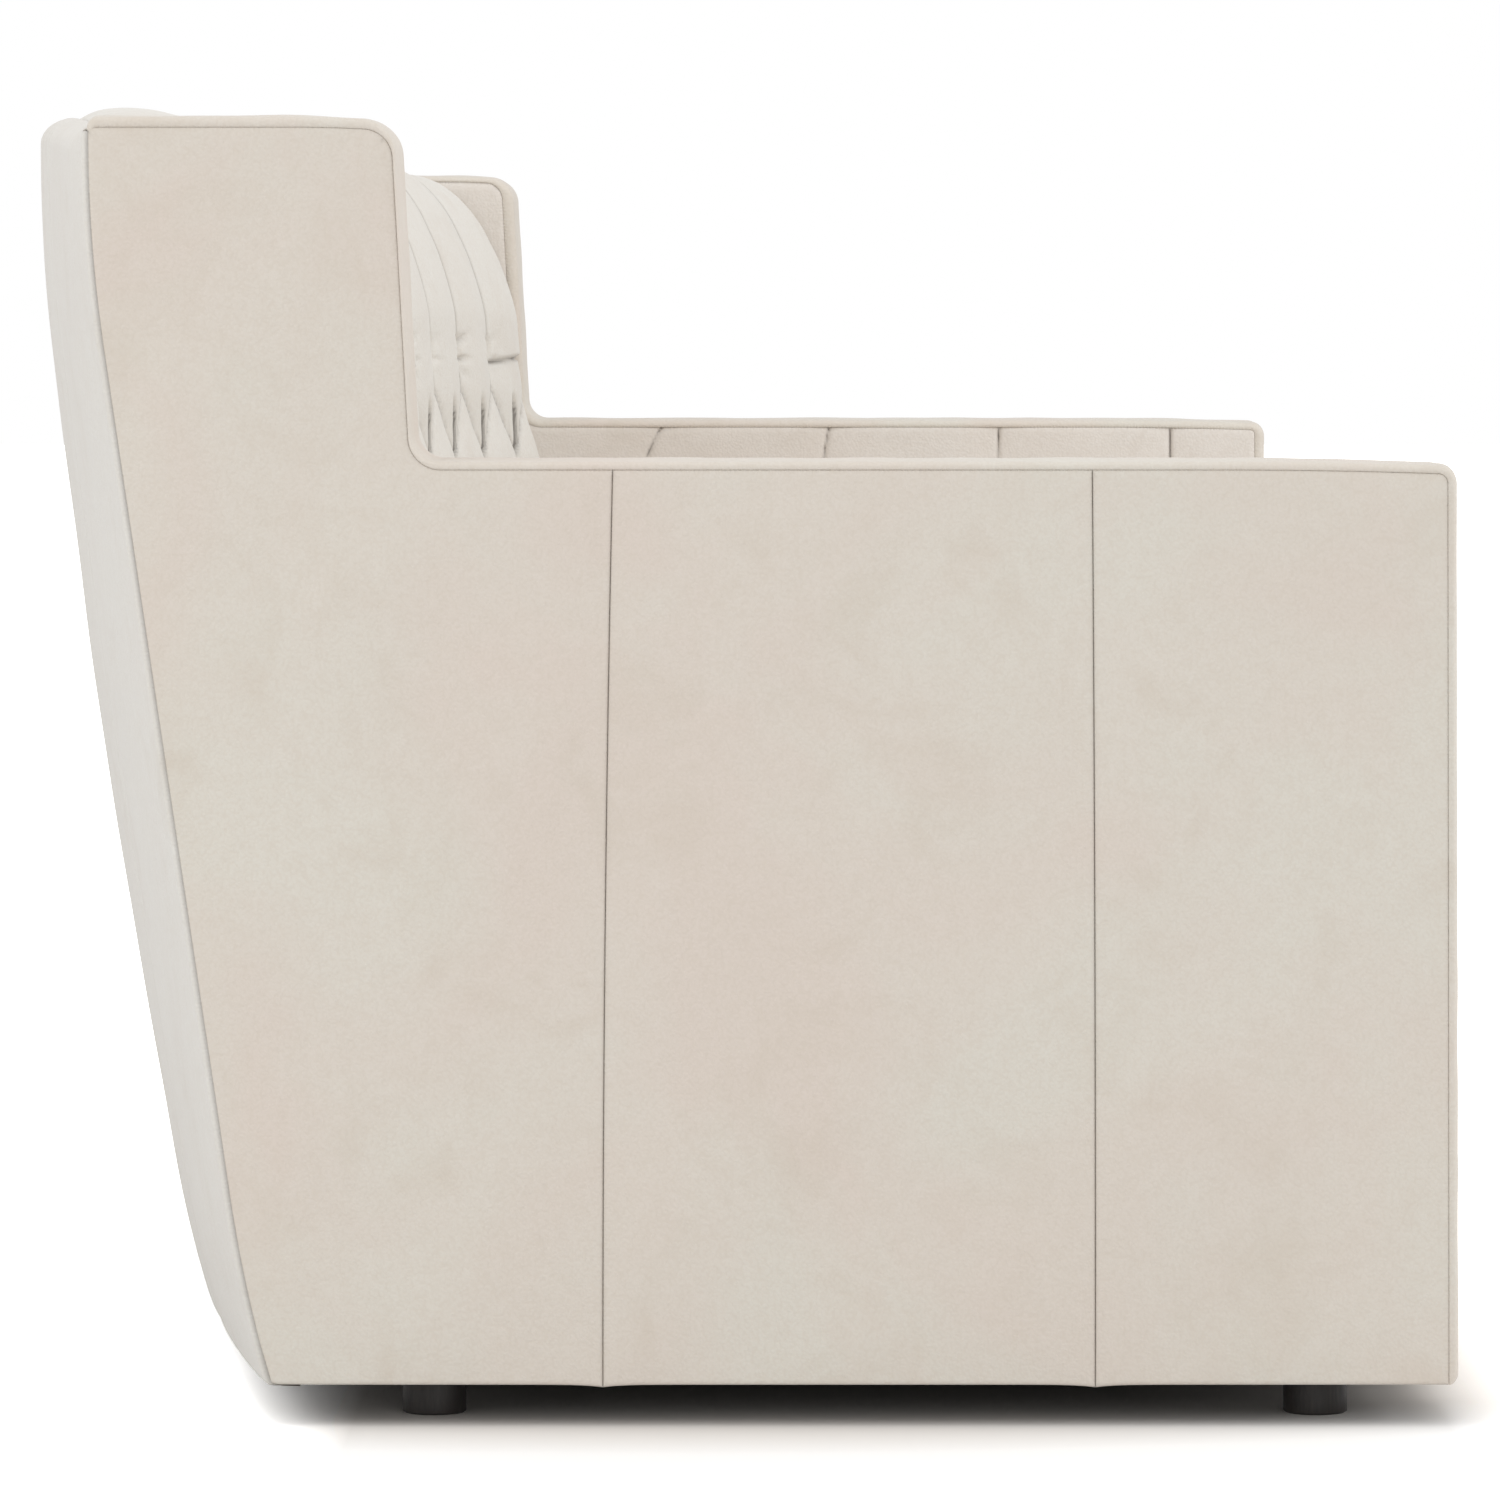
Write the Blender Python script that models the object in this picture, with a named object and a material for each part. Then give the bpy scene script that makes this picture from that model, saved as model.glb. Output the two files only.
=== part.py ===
"""A wide leather sofa with straight arms, small wings and a bowed, tufted back.

The model is in metres with +Z up. +X runs along the sofa's width, the sofa faces -Y, and the
origin is on the floor under the middle of its outer box. Run it with
blender --background --python part.py, or from Blender's text editor.
"""

import math

import bmesh
import bpy

# Clearances
GAP = 0.0003
RAIL_GAP = 0.0008
FOAM_GAP = 0.0012
CUSHION_CLEARANCE = 0.006
CUSHION_SPLIT = 0.004

# Overall form
WIDTH = 2.290
ARM_THICKNESS = 0.125
ARM_HEIGHT = 0.620
WING_RISE = 0.221
FLOOR_CLEARANCE = 0.028
BASE_DEPTH = 0.764
FRONT_LEAN = 0.004
ARM_CORNER_RADIUS = 0.014
WING_REACH = 0.2029
WING_LEAN = 0.0118
WING_FOOT_RADIUS = 0.018
WING_CORNER_RADIUS = 0.022
WING_REAR_RADIUS = 0.0075

# Raked and bowed back
BACK_RAKE = math.radians(8.64)
BEND_DROP = 0.149
BEND_RADIUS = 0.94
BOW_TOP = 0.113
BOW_BASE = 0.100
BACK_EDGE_DROP = 0.008
BACK_EDGE_RADIUS = 0.018
CREST_RISE = 0.024
PANEL_COUNT = 7
PANEL_CROWN = 0.004
PANEL_THICKNESS = 0.020

# Covers
STRIP_THICKNESS = 0.0065
STRIP_EDGE_RADIUS = 0.006
SIDE_THICKNESS = 0.012
SEAM_BEVEL = 0.0012
FRONT_SEAM_SETBACK = 0.2348
MIDDLE_SEAM_SETBACK = 0.5450
MIDDLE_SEAM_DRIFT = 0.0060
INNER_COVER_THICKNESS = 0.014
BORDER_SETBACK = 0.006
BORDER_THICKNESS = 0.012
DECK_COVER_THICKNESS = 0.003
DECK_PAD_THICKNESS = 0.028
DUST_COVER_THICKNESS = 0.0015

# Tufting
ROLL_COUNT = 13
TUFT_DEPTH = 0.024
TUFT_ROW_DROP = 0.151
TUFT_ROW_SPACING = 0.078
TUFT_ROW_COUNT = 4
BACK_COVER_THICKNESS = 0.034
SEAT_BACK_RAKE = math.radians(11.0)
CREST_REACH = 0.116
CREST_LIFT = 0.001
CREST_FRONT_SETBACK = 0.6655
CREST_TILT = 0.006
CREST_TUFT_SHARE = 0.4
LINING_BEND_SHARE = 0.575
LINING_DROP_SHARE = 0.08
ARM_PLEAT_FIRST = 0.087
ARM_PLEAT_PITCH = 0.156
ARM_PLEAT_COUNT = 4
ARM_TUFT_DROP = 0.080
ARM_TUFT_ROW_COUNT = 2
ARM_TUFT_DEPTH = 0.009

# Seat
DECK_HEIGHT = 0.300
CUSHION_THICKNESS = 0.146
CUSHION_CROWN = 0.014
CUSHION_BULGE = 0.007
CUSHION_PULL = 0.005
CUSHION_FRONT_SETBACK = 0.004
CASING_WALL = 0.003
ZIP_HEIGHT = 0.030

# Wooden frame
ARM_FOAM_THICKNESS = 0.026
BOARD = 0.025
POST_DEPTH = 0.040
RAIL_HEIGHT = 0.085
TOP_RAIL_HEIGHT = 0.070
WEBBING_THICKNESS = 0.002
LEG_PLATE_THICKNESS = 0.012
LEG_PLATE_LENGTH = 0.120
CROSS_RAIL_WIDTH = 0.060

# Springs
SPRING_COUNT = 9
SPRING_WIRE_RADIUS = 0.002
SPRING_SWING = 0.022
TIE_WIRE_SHARE = 0.8
SPRING_WAVE_COUNT = 7
CLIP_BAR_DEPTH = 0.014
CLIP_BAR_THICKNESS = 0.005

# Feet
FOOT_RADIUS = 0.020
FOOT_EDGE = 0.0015
FOOT_SIDE_INSET = 0.085
FOOT_FRONT_INSET = 0.0875
FOOT_REAR_INSET = 0.103
STUD_RADIUS = 0.004
STUD_LENGTH = 0.008
STUD_CLEARANCE = 0.001

# Mesh density
ARC_STEP_COUNT = 4
PANEL_COLUMN_COUNT = 4
RAKE_CELL_COUNT = 5
BEND_CELL_COUNT = 3
PLEAT_CELL_COUNT = 4
CREST_CELL_COUNT = 5
CREST_REAR_CELL_COUNT = 2
ARM_CELL_COUNT = 2
WING_CELL_COUNT = 3
ROLL_COLUMN_COUNT = 4
CUSHION_CELL_COUNT = 8
BOXING_CELL_COUNT = 3
FOOT_SIDE_COUNT = 24
STUD_SIDE_COUNT = 8
WAVE_POINT_COUNT = 4

# Places worked out from the sizes
HALF = WIDTH / 2
WING_HEIGHT = ARM_HEIGHT + WING_RISE
BEND_HEIGHT = WING_HEIGHT - BEND_DROP
BACK_EDGE_HEIGHT = WING_HEIGHT - BACK_EDGE_DROP
CREST_HEIGHT = WING_HEIGHT + CREST_LIFT
TUFT_ROW_HEIGHT = WING_HEIGHT - TUFT_ROW_DROP
INNER_HALF = HALF - ARM_THICKNESS
FRAME_OUT = HALF - SIDE_THICKNESS - GAP
FRAME_IN = INNER_HALF + INNER_COVER_THICKNESS + ARM_FOAM_THICKNESS + 2 * GAP
RAKE_RUN = math.tan(BACK_RAKE) * (BEND_HEIGHT - FLOOR_CLEARANCE)
BEND_RUN = BEND_RADIUS * (1 - math.cos(BACK_RAKE))
DEPTH = BASE_DEPTH + RAKE_RUN + BEND_RUN + BOW_TOP + PANEL_CROWN
FRONT = -DEPTH / 2
BASE_REAR = FRONT + BASE_DEPTH
WING_FRONT = BASE_REAR + RAKE_RUN + BEND_RUN - WING_REACH
CREST_FRONT = FRONT + CREST_FRONT_SETBACK
SILL = FLOOR_CLEARANCE + DUST_COVER_THICKNESS + GAP
RAIL_FOOT = SILL + LEG_PLATE_THICKNESS + GAP
DECK_PAD_TOP = DECK_HEIGHT - DECK_COVER_THICKNESS - 2 * GAP
DECK_PAD_FOOT = DECK_PAD_TOP - DECK_PAD_THICKNESS
SEAT_RAIL_TOP = DECK_PAD_FOOT - CLIP_BAR_THICKNESS - 2 * GAP
SPRING_HEIGHT = SEAT_RAIL_TOP + GAP + CLIP_BAR_THICKNESS / 2
BORDER_REAR = FRONT + BORDER_SETBACK + BORDER_THICKNESS
PITCH = 2 * INNER_HALF / ROLL_COUNT
ARM_TUFT_HEIGHT = ARM_HEIGHT - ARM_TUFT_DROP

# Finishes: linear colour, roughness, metallic
FINISHES = {
    "cream_leather": ((0.672, 0.625, 0.550), 0.55, 0.0),
    "pale_leather": ((0.715, 0.680, 0.625), 0.55, 0.0),
    "foam": ((0.80, 0.74, 0.55), 0.95, 0.0),
    "hardwood": ((0.47, 0.30, 0.16), 0.65, 0.0),
    "black_cloth": ((0.020, 0.020, 0.022), 0.90, 0.0),
    "jute": ((0.36, 0.27, 0.15), 0.90, 0.0),
    "spring_steel": ((0.35, 0.36, 0.38), 0.35, 1.0),
    "dark_wood": ((0.030, 0.026, 0.022), 0.45, 0.0),
    "zip_tape": ((0.45, 0.41, 0.35), 0.80, 0.0),
}


def clear_scene():
    """Remove every object that the file holds."""
    for obj in list(bpy.data.objects):
        bpy.data.objects.remove(obj, do_unlink=True)


def finish(name):
    """The material of one finish, made once."""
    material = bpy.data.materials.get(name)
    if material is None:
        colour, roughness, metallic = FINISHES[name]
        material = bpy.data.materials.new(name)
        material.use_nodes = True
        shader = material.node_tree.nodes["Principled BSDF"]
        shader.inputs["Base Color"].default_value = (*colour, 1.0)
        shader.inputs["Roughness"].default_value = roughness
        shader.inputs["Metallic"].default_value = metallic
        material.diffuse_color = (*colour, 1.0)
    return material


def add_piece(name, points, faces, finish_name, smooth=False):
    """A closed mesh object whose faces are turned outwards."""
    mesh = bpy.data.meshes.new(name)
    mesh.from_pydata(points, [], faces)
    shape = bmesh.new()
    shape.from_mesh(mesh)
    bmesh.ops.recalc_face_normals(shape, faces=shape.faces)
    shape.to_mesh(mesh)
    shape.free()
    mesh.materials.append(finish(finish_name))
    if smooth:
        mesh.shade_smooth()
        mesh.set_sharp_from_angle(angle=math.radians(40))
    obj = bpy.data.objects.new(name, mesh)
    bpy.context.collection.objects.link(obj)
    return obj


def mirrored(points, side):
    """Points of the +X side, or with side -1 the same points turned over to the -X side."""
    return [(x * side, y, z) for x, y, z in points]


def box(name, low, high, finish_name):
    """A rectangular board between two corners."""
    xs, ys, zs = zip(low, high)
    points = [(x, y, z) for x in xs for y in ys for z in zs]
    faces = [(0, 1, 3, 2), (4, 6, 7, 5), (0, 4, 5, 1), (2, 3, 7, 6), (0, 2, 6, 4), (1, 5, 7, 3)]
    return add_piece(name, points, faces, finish_name)


def plate_faces(count):
    """Faces of a plate: one outline of so many points, its copy behind it and the rim."""
    faces = [tuple(range(count)), tuple(reversed(range(count, 2 * count)))]
    faces += [(i, i + count, (i + 1) % count + count, (i + 1) % count) for i in range(count)]
    return faces


def rim_of(cells):
    """The directed edges that only one of the faces uses."""
    rim = {}
    for cell in cells:
        for a, b in zip(cell, cell[1:] + cell[:1]):
            if (b, a) in rim:
                del rim[(b, a)]
            else:
                rim[(a, b)] = True
    return list(rim)


def sheet(name, front, back, cells, finish_name, smooth=False, flat_back=False):
    """A closed sheet: the cells on the front points, their copy on the back, and a rim.

    A flat back is one face round the rim.
    """
    count = len(front)
    following = dict(rim_of(cells))
    faces = list(cells)
    faces += [(b, a, a + count, b + count) for a, b in following.items()]
    if flat_back:
        loop = [next(iter(following))]
        while following[loop[-1]] != loop[0]:
            loop.append(following[loop[-1]])
        faces.append(tuple(i + count for i in reversed(loop)))
        used = sorted({i for face in faces for i in face})
        number = {old: new for new, old in enumerate(used)}
        points = [(front + back)[i] for i in used]
        faces = [tuple(number[i] for i in face) for face in faces]
        return add_piece(name, points, faces, finish_name, smooth)
    faces += [tuple(i + count for i in reversed(cell)) for cell in cells]
    return add_piece(name, front + back, faces, finish_name, smooth)


def grid_cells(columns, rows):
    """Quads of a grid whose points are stored column by column."""
    return [
        (i * (rows + 1) + j, (i + 1) * (rows + 1) + j, (i + 1) * (rows + 1) + j + 1, i * (rows + 1) + j + 1)
        for i in range(columns)
        for j in range(rows)
    ]


def spread(low, high, cells):
    """Evenly spaced values from low to high."""
    return [low + (high - low) * i / cells for i in range(cells + 1)]


def offset_corners(corners, inset):
    """Move an open outline inwards: its inner side is on the right of its direction."""
    moved = []
    for i, (y, z, radius) in enumerate(corners):
        before = corners[max(i - 1, 0)]
        after = corners[min(i + 1, len(corners) - 1)]
        directions = []
        for start, end in ((before, (y, z)), ((y, z), after)):
            length = math.hypot(end[0] - start[0], end[1] - start[1])
            if length > 0:
                directions.append(((end[0] - start[0]) / length, (end[1] - start[1]) / length))
        first, last = directions[0], directions[-1]
        turn = first[0] * last[1] - first[1] * last[0]
        lean = 1 + first[0] * last[0] + first[1] * last[1]
        y += inset * (first[1] + last[1]) / lean
        z -= inset * (first[0] + last[0]) / lean
        bend = radius + math.copysign(inset, turn) if radius else radius
        moved.append((y, z, bend))
    return moved


def rounded(corners):
    """Points of an open outline whose corners with a radius are turned in an arc."""
    points = []
    for i, (y, z, radius) in enumerate(corners):
        if radius <= 0:
            points.append((y, z))
            continue
        before, after = corners[i - 1], corners[i + 1]
        to_before = math.atan2(before[1] - z, before[0] - y)
        to_after = math.atan2(after[1] - z, after[0] - y)
        half = abs(math.remainder(to_after - to_before, 2 * math.pi)) / 2
        middle = to_before + math.remainder(to_after - to_before, 2 * math.pi) / 2
        away = radius / math.sin(half)
        centre = (y + away * math.cos(middle), z + away * math.sin(middle))
        turn = math.remainder(to_after - to_before, 2 * math.pi)
        sweep = (math.pi - 2 * half) * math.copysign(1, turn)
        start = middle + math.pi + sweep / 2
        for step in range(ARC_STEP_COUNT + 1):
            angle = start - sweep * step / ARC_STEP_COUNT
            points.append((centre[0] + radius * math.cos(angle), centre[1] + radius * math.sin(angle)))
    return points


def rear_y(height):
    """The rear edge of the side: raked, then bent upright."""
    if height <= BEND_HEIGHT:
        return BASE_REAR + math.tan(BACK_RAKE) * (height - FLOOR_CLEARANCE)
    lean = math.asin(max(math.sin(BACK_RAKE) - (height - BEND_HEIGHT) / BEND_RADIUS, 0))
    return BASE_REAR + RAKE_RUN + BEND_RADIUS * (math.cos(lean) - math.cos(BACK_RAKE))


def bow(x, height):
    """How far the back stands behind its two ends, on a circle through them."""
    share = min(max((height - FLOOR_CLEARANCE) / (WING_HEIGHT - FLOOR_CLEARANCE), 0), 1)
    sag = BOW_TOP - (BOW_TOP - BOW_BASE) * (1 - share) ** 2
    radius = (HALF**2 + sag**2) / (2 * sag)
    return math.sqrt(radius**2 - x**2) - (radius - sag)


def outer_y(x, height):
    """The seam surface of the outer back."""
    return rear_y(height) + bow(x, height)


def lining_y(x, height):
    """The face that the outer back panels turn to the frame."""
    return outer_y(x, height) - PANEL_THICKNESS


def crest_rise(x):
    """The back's top edge rises from the wings to the middle."""
    return CREST_RISE * (1 - min(abs(x) / INNER_HALF, 1) ** 4)


def profile_corners():
    """The front and top outline of a side, from the front foot to the wing's rear corner."""
    top_rear = rear_y(WING_HEIGHT)
    return [
        (FRONT, FLOOR_CLEARANCE, 0),
        (FRONT + FRONT_LEAN, ARM_HEIGHT, ARM_CORNER_RADIUS),
        (WING_FRONT, ARM_HEIGHT, WING_FOOT_RADIUS),
        (WING_FRONT + WING_LEAN, WING_HEIGHT, WING_CORNER_RADIUS),
        (top_rear, WING_HEIGHT, 0),
    ]


def build_border_strip(name, side):
    """The strip round a side's front and top, carried across the arm's thickness."""
    outer = profile_corners()
    top_rear = outer[-1][0]
    outer[-1] = (top_rear, WING_HEIGHT, WING_REAR_RADIUS)
    outer.append((top_rear, BACK_EDGE_HEIGHT + GAP, 0))
    edge = [1 - math.cos(math.pi / 2 * step / ARC_STEP_COUNT) for step in range(ARC_STEP_COUNT + 1)]
    rise = [math.sin(math.pi / 2 * step / ARC_STEP_COUNT) for step in range(ARC_STEP_COUNT + 1)]
    section = [(HALF, STRIP_THICKNESS)]
    section += [(HALF - STRIP_EDGE_RADIUS * e, STRIP_EDGE_RADIUS * (1 - r)) for e, r in zip(edge, rise)]
    section += [(INNER_HALF + STRIP_EDGE_RADIUS * e, STRIP_EDGE_RADIUS * (1 - r))
                for e, r in reversed(list(zip(edge, rise)))]
    section += [(INNER_HALF, STRIP_THICKNESS)]
    lines = [[(x, y, z) for y, z in rounded(offset_corners(outer, inset))] for x, inset in section]
    rows = len(lines[0])
    points = [point for line in lines for point in line]
    faces = grid_cells(len(section) - 1, rows - 1)
    last = (len(section) - 1) * rows
    faces += [(last + j, j, j + 1, last + j + 1) for j in range(rows - 1)]
    faces += [tuple(i * rows for i in range(len(section)))]
    faces += [tuple(i * rows + rows - 1 for i in reversed(range(len(section))))]
    return add_piece(name, mirrored(points, side), faces, "cream_leather", smooth=True)


def panel_outline(low_setback, high_setback, drift):
    """The outline of one piece of the outer side, between two upright seams."""
    corners = offset_corners(profile_corners(), STRIP_THICKNESS + GAP)
    top = rounded(corners)
    arm_top = corners[1][1]
    bottom = FLOOR_CLEARANCE
    start = FRONT + low_setback + GAP / 2
    points = []
    if low_setback == 0:
        points.append((corners[0][0], bottom))
        points += [p for p in top[1:] if p[0] < WING_FRONT - 2 * WING_FOOT_RADIUS]
    else:
        lean = drift if high_setback is None else 0
        points += [(start, bottom), (start - lean, arm_top)]
    if high_setback is not None:
        end = FRONT + high_setback - GAP / 2
        points += [(end - drift, arm_top), (end, bottom)]
        return points
    points += [p for p in top if p[0] > WING_FRONT - 2 * WING_FOOT_RADIUS][:-1]
    strip_end = BACK_EDGE_HEIGHT - GAP
    points.append((rear_y(WING_HEIGHT) - WING_REAR_RADIUS - GAP, corners[-1][1]))
    points.append((rear_y(WING_HEIGHT) - STRIP_THICKNESS - GAP, strip_end))
    heights = [strip_end, BACK_EDGE_HEIGHT - BACK_EDGE_RADIUS, (BEND_HEIGHT + BACK_EDGE_HEIGHT) / 2]
    heights += [BEND_HEIGHT, bottom]
    points += [(rear_y(z) - GAP, z) for z in heights]
    return points


def build_side_panels(side, label):
    """The three pieces of a side's outer cover, mitred to the outer back."""
    pieces = (
        ("front", 0, FRONT_SEAM_SETBACK, 0),
        ("middle", FRONT_SEAM_SETBACK, MIDDLE_SEAM_SETBACK, MIDDLE_SEAM_DRIFT),
        ("rear", MIDDLE_SEAM_SETBACK, None, MIDDLE_SEAM_DRIFT),
    )
    for place, low, high, drift in pieces:
        outline = panel_outline(low, high, drift)
        outer, inner = [], []
        for y, z in outline:
            mitre = PANEL_THICKNESS if high is None and y > rear_y(z) - WING_REAR_RADIUS - 2 * GAP else 0
            outer.append((HALF, y, z))
            inner.append((HALF - SIDE_THICKNESS, y - mitre, z))
        name = f"{label}_side_panel_{place}"
        faces = plate_faces(len(outline))
        panel = add_piece(name, mirrored(outer + inner, side), faces, "cream_leather")
        bevel = panel.modifiers.new("seam edge", "BEVEL")
        bevel.width = SEAM_BEVEL
        bevel.segments = 1
        bevel.limit_method = "ANGLE"
        bevel.angle_limit = math.radians(50)


def build_outer_back():
    """The upright panels of the outer back, each slightly padded between its seams."""
    width = WIDTH / PANEL_COUNT
    for number in range(PANEL_COUNT):
        first = number == 0
        last = number == PANEL_COUNT - 1
        low = -HALF + width * number + (0 if first else GAP / 2)
        high = -HALF + width * (number + 1) - (0 if last else GAP / 2)
        front, back = [], []
        heights = [FLOOR_CLEARANCE, FLOOR_CLEARANCE + PANEL_THICKNESS]
        heights += spread(heights[-1], BEND_HEIGHT, RAKE_CELL_COUNT)[1:]
        heights += spread(BEND_HEIGHT, BACK_EDGE_HEIGHT - BACK_EDGE_RADIUS, BEND_CELL_COUNT)[1:]
        for place in spread(low, high, PANEL_COLUMN_COUNT):
            beside_wing = abs(abs(place) - INNER_HALF) < width / PANEL_COLUMN_COUNT / 2
            x = math.copysign(INNER_HALF, place) if beside_wing else place
            share = (2 * x - low - high) / (high - low)
            crown = PANEL_CROWN * (1 - share**4)
            at_end = abs(x) > HALF - GAP
            inner_x = math.copysign(HALF - SIDE_THICKNESS, x) if at_end else x
            rise = crest_rise(x)
            stretch = rise / (heights[-1] - BEND_HEIGHT)
            places = [(z + max(z - BEND_HEIGHT, 0) * stretch, 0) for z in heights]
            top = places[-1][0]
            for step in range(1, ARC_STEP_COUNT + 1):
                turn = math.pi / 2 * step / ARC_STEP_COUNT
                reach = 0 if at_end else (PANEL_THICKNESS - SEAM_BEVEL) * (1 - math.cos(turn))
                places.append((top + BACK_EDGE_RADIUS * math.sin(turn), reach))
            for z, reach in places:
                swell = crown if z > heights[0] else crown / 2
                front.append((x, outer_y(x, z) + swell - reach * (1 + swell / PANEL_THICKNESS), z))
                back.append((inner_x, lining_y(inner_x, z), z))
        rows = len(heights) + ARC_STEP_COUNT - 1
        cells = grid_cells(PANEL_COLUMN_COUNT, rows)
        sheet(f"outer_back_panel_{number + 1}", front, back, cells, "pale_leather", smooth=True)


def tuft_crown(across, height, pitch, first_height, spacing, rows):
    """From 0 in a crease to 1 on a crown of the diamond tufting.

    across is measured from a crease of the first row. Above the first row and below the last
    one, the creases run straight up and down; between rows they run from button to button.
    """
    least = 1.0
    for row in range(rows):
        level = first_height - spacing * row
        shift = pitch / 2 * (1 - row % 2)
        sideways = abs(math.remainder(across - shift, pitch)) / (pitch / 2)
        upright = abs(height - level) / spacing
        if (row == 0 and height > level) or (row == rows - 1 and height < level):
            upright = 0
        least = min(least, sideways + upright)
    return math.sqrt(1 - least**2)


def back_profile(step):
    """One point (y, z, tuft share) of the inside back's profile at its ends.

    Steps count from 0 at the deck up the front; the last ones go over the crest.
    """
    rise, straight, turn, over = back_steps()
    if step <= straight:
        height = rise[step]
        return (CREST_FRONT - math.tan(SEAT_BACK_RAKE) * (TUFT_ROW_HEIGHT - height), height, 1)
    if step <= straight + turn:
        angle = math.pi / 2 * (step - straight) / turn
        reach = CREST_REACH * (1 - math.cos(angle)) + CREST_TILT * math.sin(2 * angle)
        height = TUFT_ROW_HEIGHT + (CREST_HEIGHT - TUFT_ROW_HEIGHT) * math.sin(angle)
        return (CREST_FRONT + reach, height, 1 - (1 - CREST_TUFT_SHARE) * (step - straight) / turn)
    along = (step - straight - turn) / over
    start = CREST_FRONT + CREST_REACH
    end = lining_y(INNER_HALF, BACK_EDGE_HEIGHT) - RAIL_GAP
    height = CREST_HEIGHT - (CREST_HEIGHT - BACK_EDGE_HEIGHT) * along**2
    return (start + (end - start) * along, height, CREST_TUFT_SHARE)


def back_steps():
    """Heights of the tufted rows, and how many steps the front, the crest and its rear take."""
    last_row = TUFT_ROW_HEIGHT - TUFT_ROW_SPACING * (TUFT_ROW_COUNT - 1)
    heights = spread(DECK_HEIGHT, last_row, PLEAT_CELL_COUNT)
    heights += spread(last_row, TUFT_ROW_HEIGHT, 2 * (TUFT_ROW_COUNT - 1))[1:]
    return heights, len(heights) - 1, CREST_CELL_COUNT, CREST_REAR_CELL_COUNT


def back_point(x, y, z, inset):
    """A point of the end profile, carried to x along the bow and the rising crest."""
    lift = crest_rise(x) * max(z - TUFT_ROW_HEIGHT, 0) / (CREST_HEIGHT - TUFT_ROW_HEIGHT)
    return (x, y + bow(x, z) - bow(INNER_HALF, z) + inset[0], z + lift + inset[1])


def lining_profile():
    """The profile under the tufted cover: a slanted front, a bend and a level top."""
    slope = math.tan(SEAT_BACK_RAKE)
    foot_y = CREST_FRONT - slope * (TUFT_ROW_HEIGHT - DECK_HEIGHT) + BACK_COVER_THICKNESS
    bend_y = CREST_FRONT + BACK_COVER_THICKNESS
    top = CREST_HEIGHT - BACK_COVER_THICKNESS
    rear = lining_y(INNER_HALF, top) - RAIL_GAP
    bend_run = CREST_REACH - BACK_COVER_THICKNESS
    return [
        (foot_y, DECK_HEIGHT),
        (bend_y, TUFT_ROW_HEIGHT),
        (bend_y + bend_run * LINING_BEND_SHARE, top - bend_run * LINING_DROP_SHARE),
        (CREST_FRONT + CREST_REACH, top),
        (rear, top),
    ]


def build_inside_back():
    """The tufted cover of the inside back, its foam and the webbing behind it."""
    _, straight, turn, over = back_steps()
    rows = straight + turn + over
    columns = ROLL_COUNT * ROLL_COLUMN_COUNT
    reach = INNER_HALF - GAP
    places = spread(-reach, reach, columns)
    crowns, front = [], []
    for x in places:
        across = (x / reach + 1) * INNER_HALF
        for step in range(rows + 1):
            y, z, share = back_profile(step)
            level = min(z, TUFT_ROW_HEIGHT) if step > straight else z
            crown = tuft_crown(across, level, PITCH, TUFT_ROW_HEIGHT, TUFT_ROW_SPACING, TUFT_ROW_COUNT)
            depth = TUFT_DEPTH * share * (1 - crown)
            angle = math.pi / 2 * min(max(step - straight, 0) / turn, 1)
            crowns.append(crown)
            front.append(back_point(x, y, z, (depth * math.cos(angle), -depth * math.sin(angle))))
    lining = [back_point(x, y, z, (0, 0)) for x in places for y, z in lining_profile()]
    depth_rows = len(lining_profile())
    start = len(front)
    faces = []
    for a, b, c, d in grid_cells(columns, rows):
        if crowns[a] + crowns[c] < crowns[b] + crowns[d]:
            faces += [(a, b, c), (a, c, d)]
        else:
            faces += [(a, b, d), (b, c, d)]
    faces += [tuple(start + i for i in reversed(cell)) for cell in grid_cells(columns, depth_rows - 1)]
    for i in range(columns):
        a, b = i * (rows + 1), (i + 1) * (rows + 1)
        c, d = start + i * depth_rows, start + (i + 1) * depth_rows
        faces += [(b, a, c, d), (a + rows, b + rows, d + depth_rows - 1, c + depth_rows - 1)]
    for i in (0, columns):
        end = [i * (rows + 1) + j for j in range(rows + 1)]
        end += [start + i * depth_rows + j for j in reversed(range(depth_rows))]
        faces.append(tuple(end))
    add_piece("inside_back_cover", front + lining, faces, "cream_leather", smooth=True)
    build_back_foam(places[::2])
    build_webbing(places[::2])


def frame_plane_y(x, z):
    """The face that the rails of the back turn to the webbing."""
    return lining_y(x, z) - RAIL_GAP - BOARD


def build_webbing(places):
    """The woven panel behind the foam of the back, against the rails."""
    front, back = [], []
    for x in places:
        for z in (DECK_HEIGHT, BEND_HEIGHT, crest_top(x) - 2 * GAP):
            y = frame_plane_y(x, z) - GAP
            front.append((x, y, z))
            back.append((x, y - WEBBING_THICKNESS, z))
    sheet("back_webbing_panel", front, back, grid_cells(len(places) - 1, 2), "jute")


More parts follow.
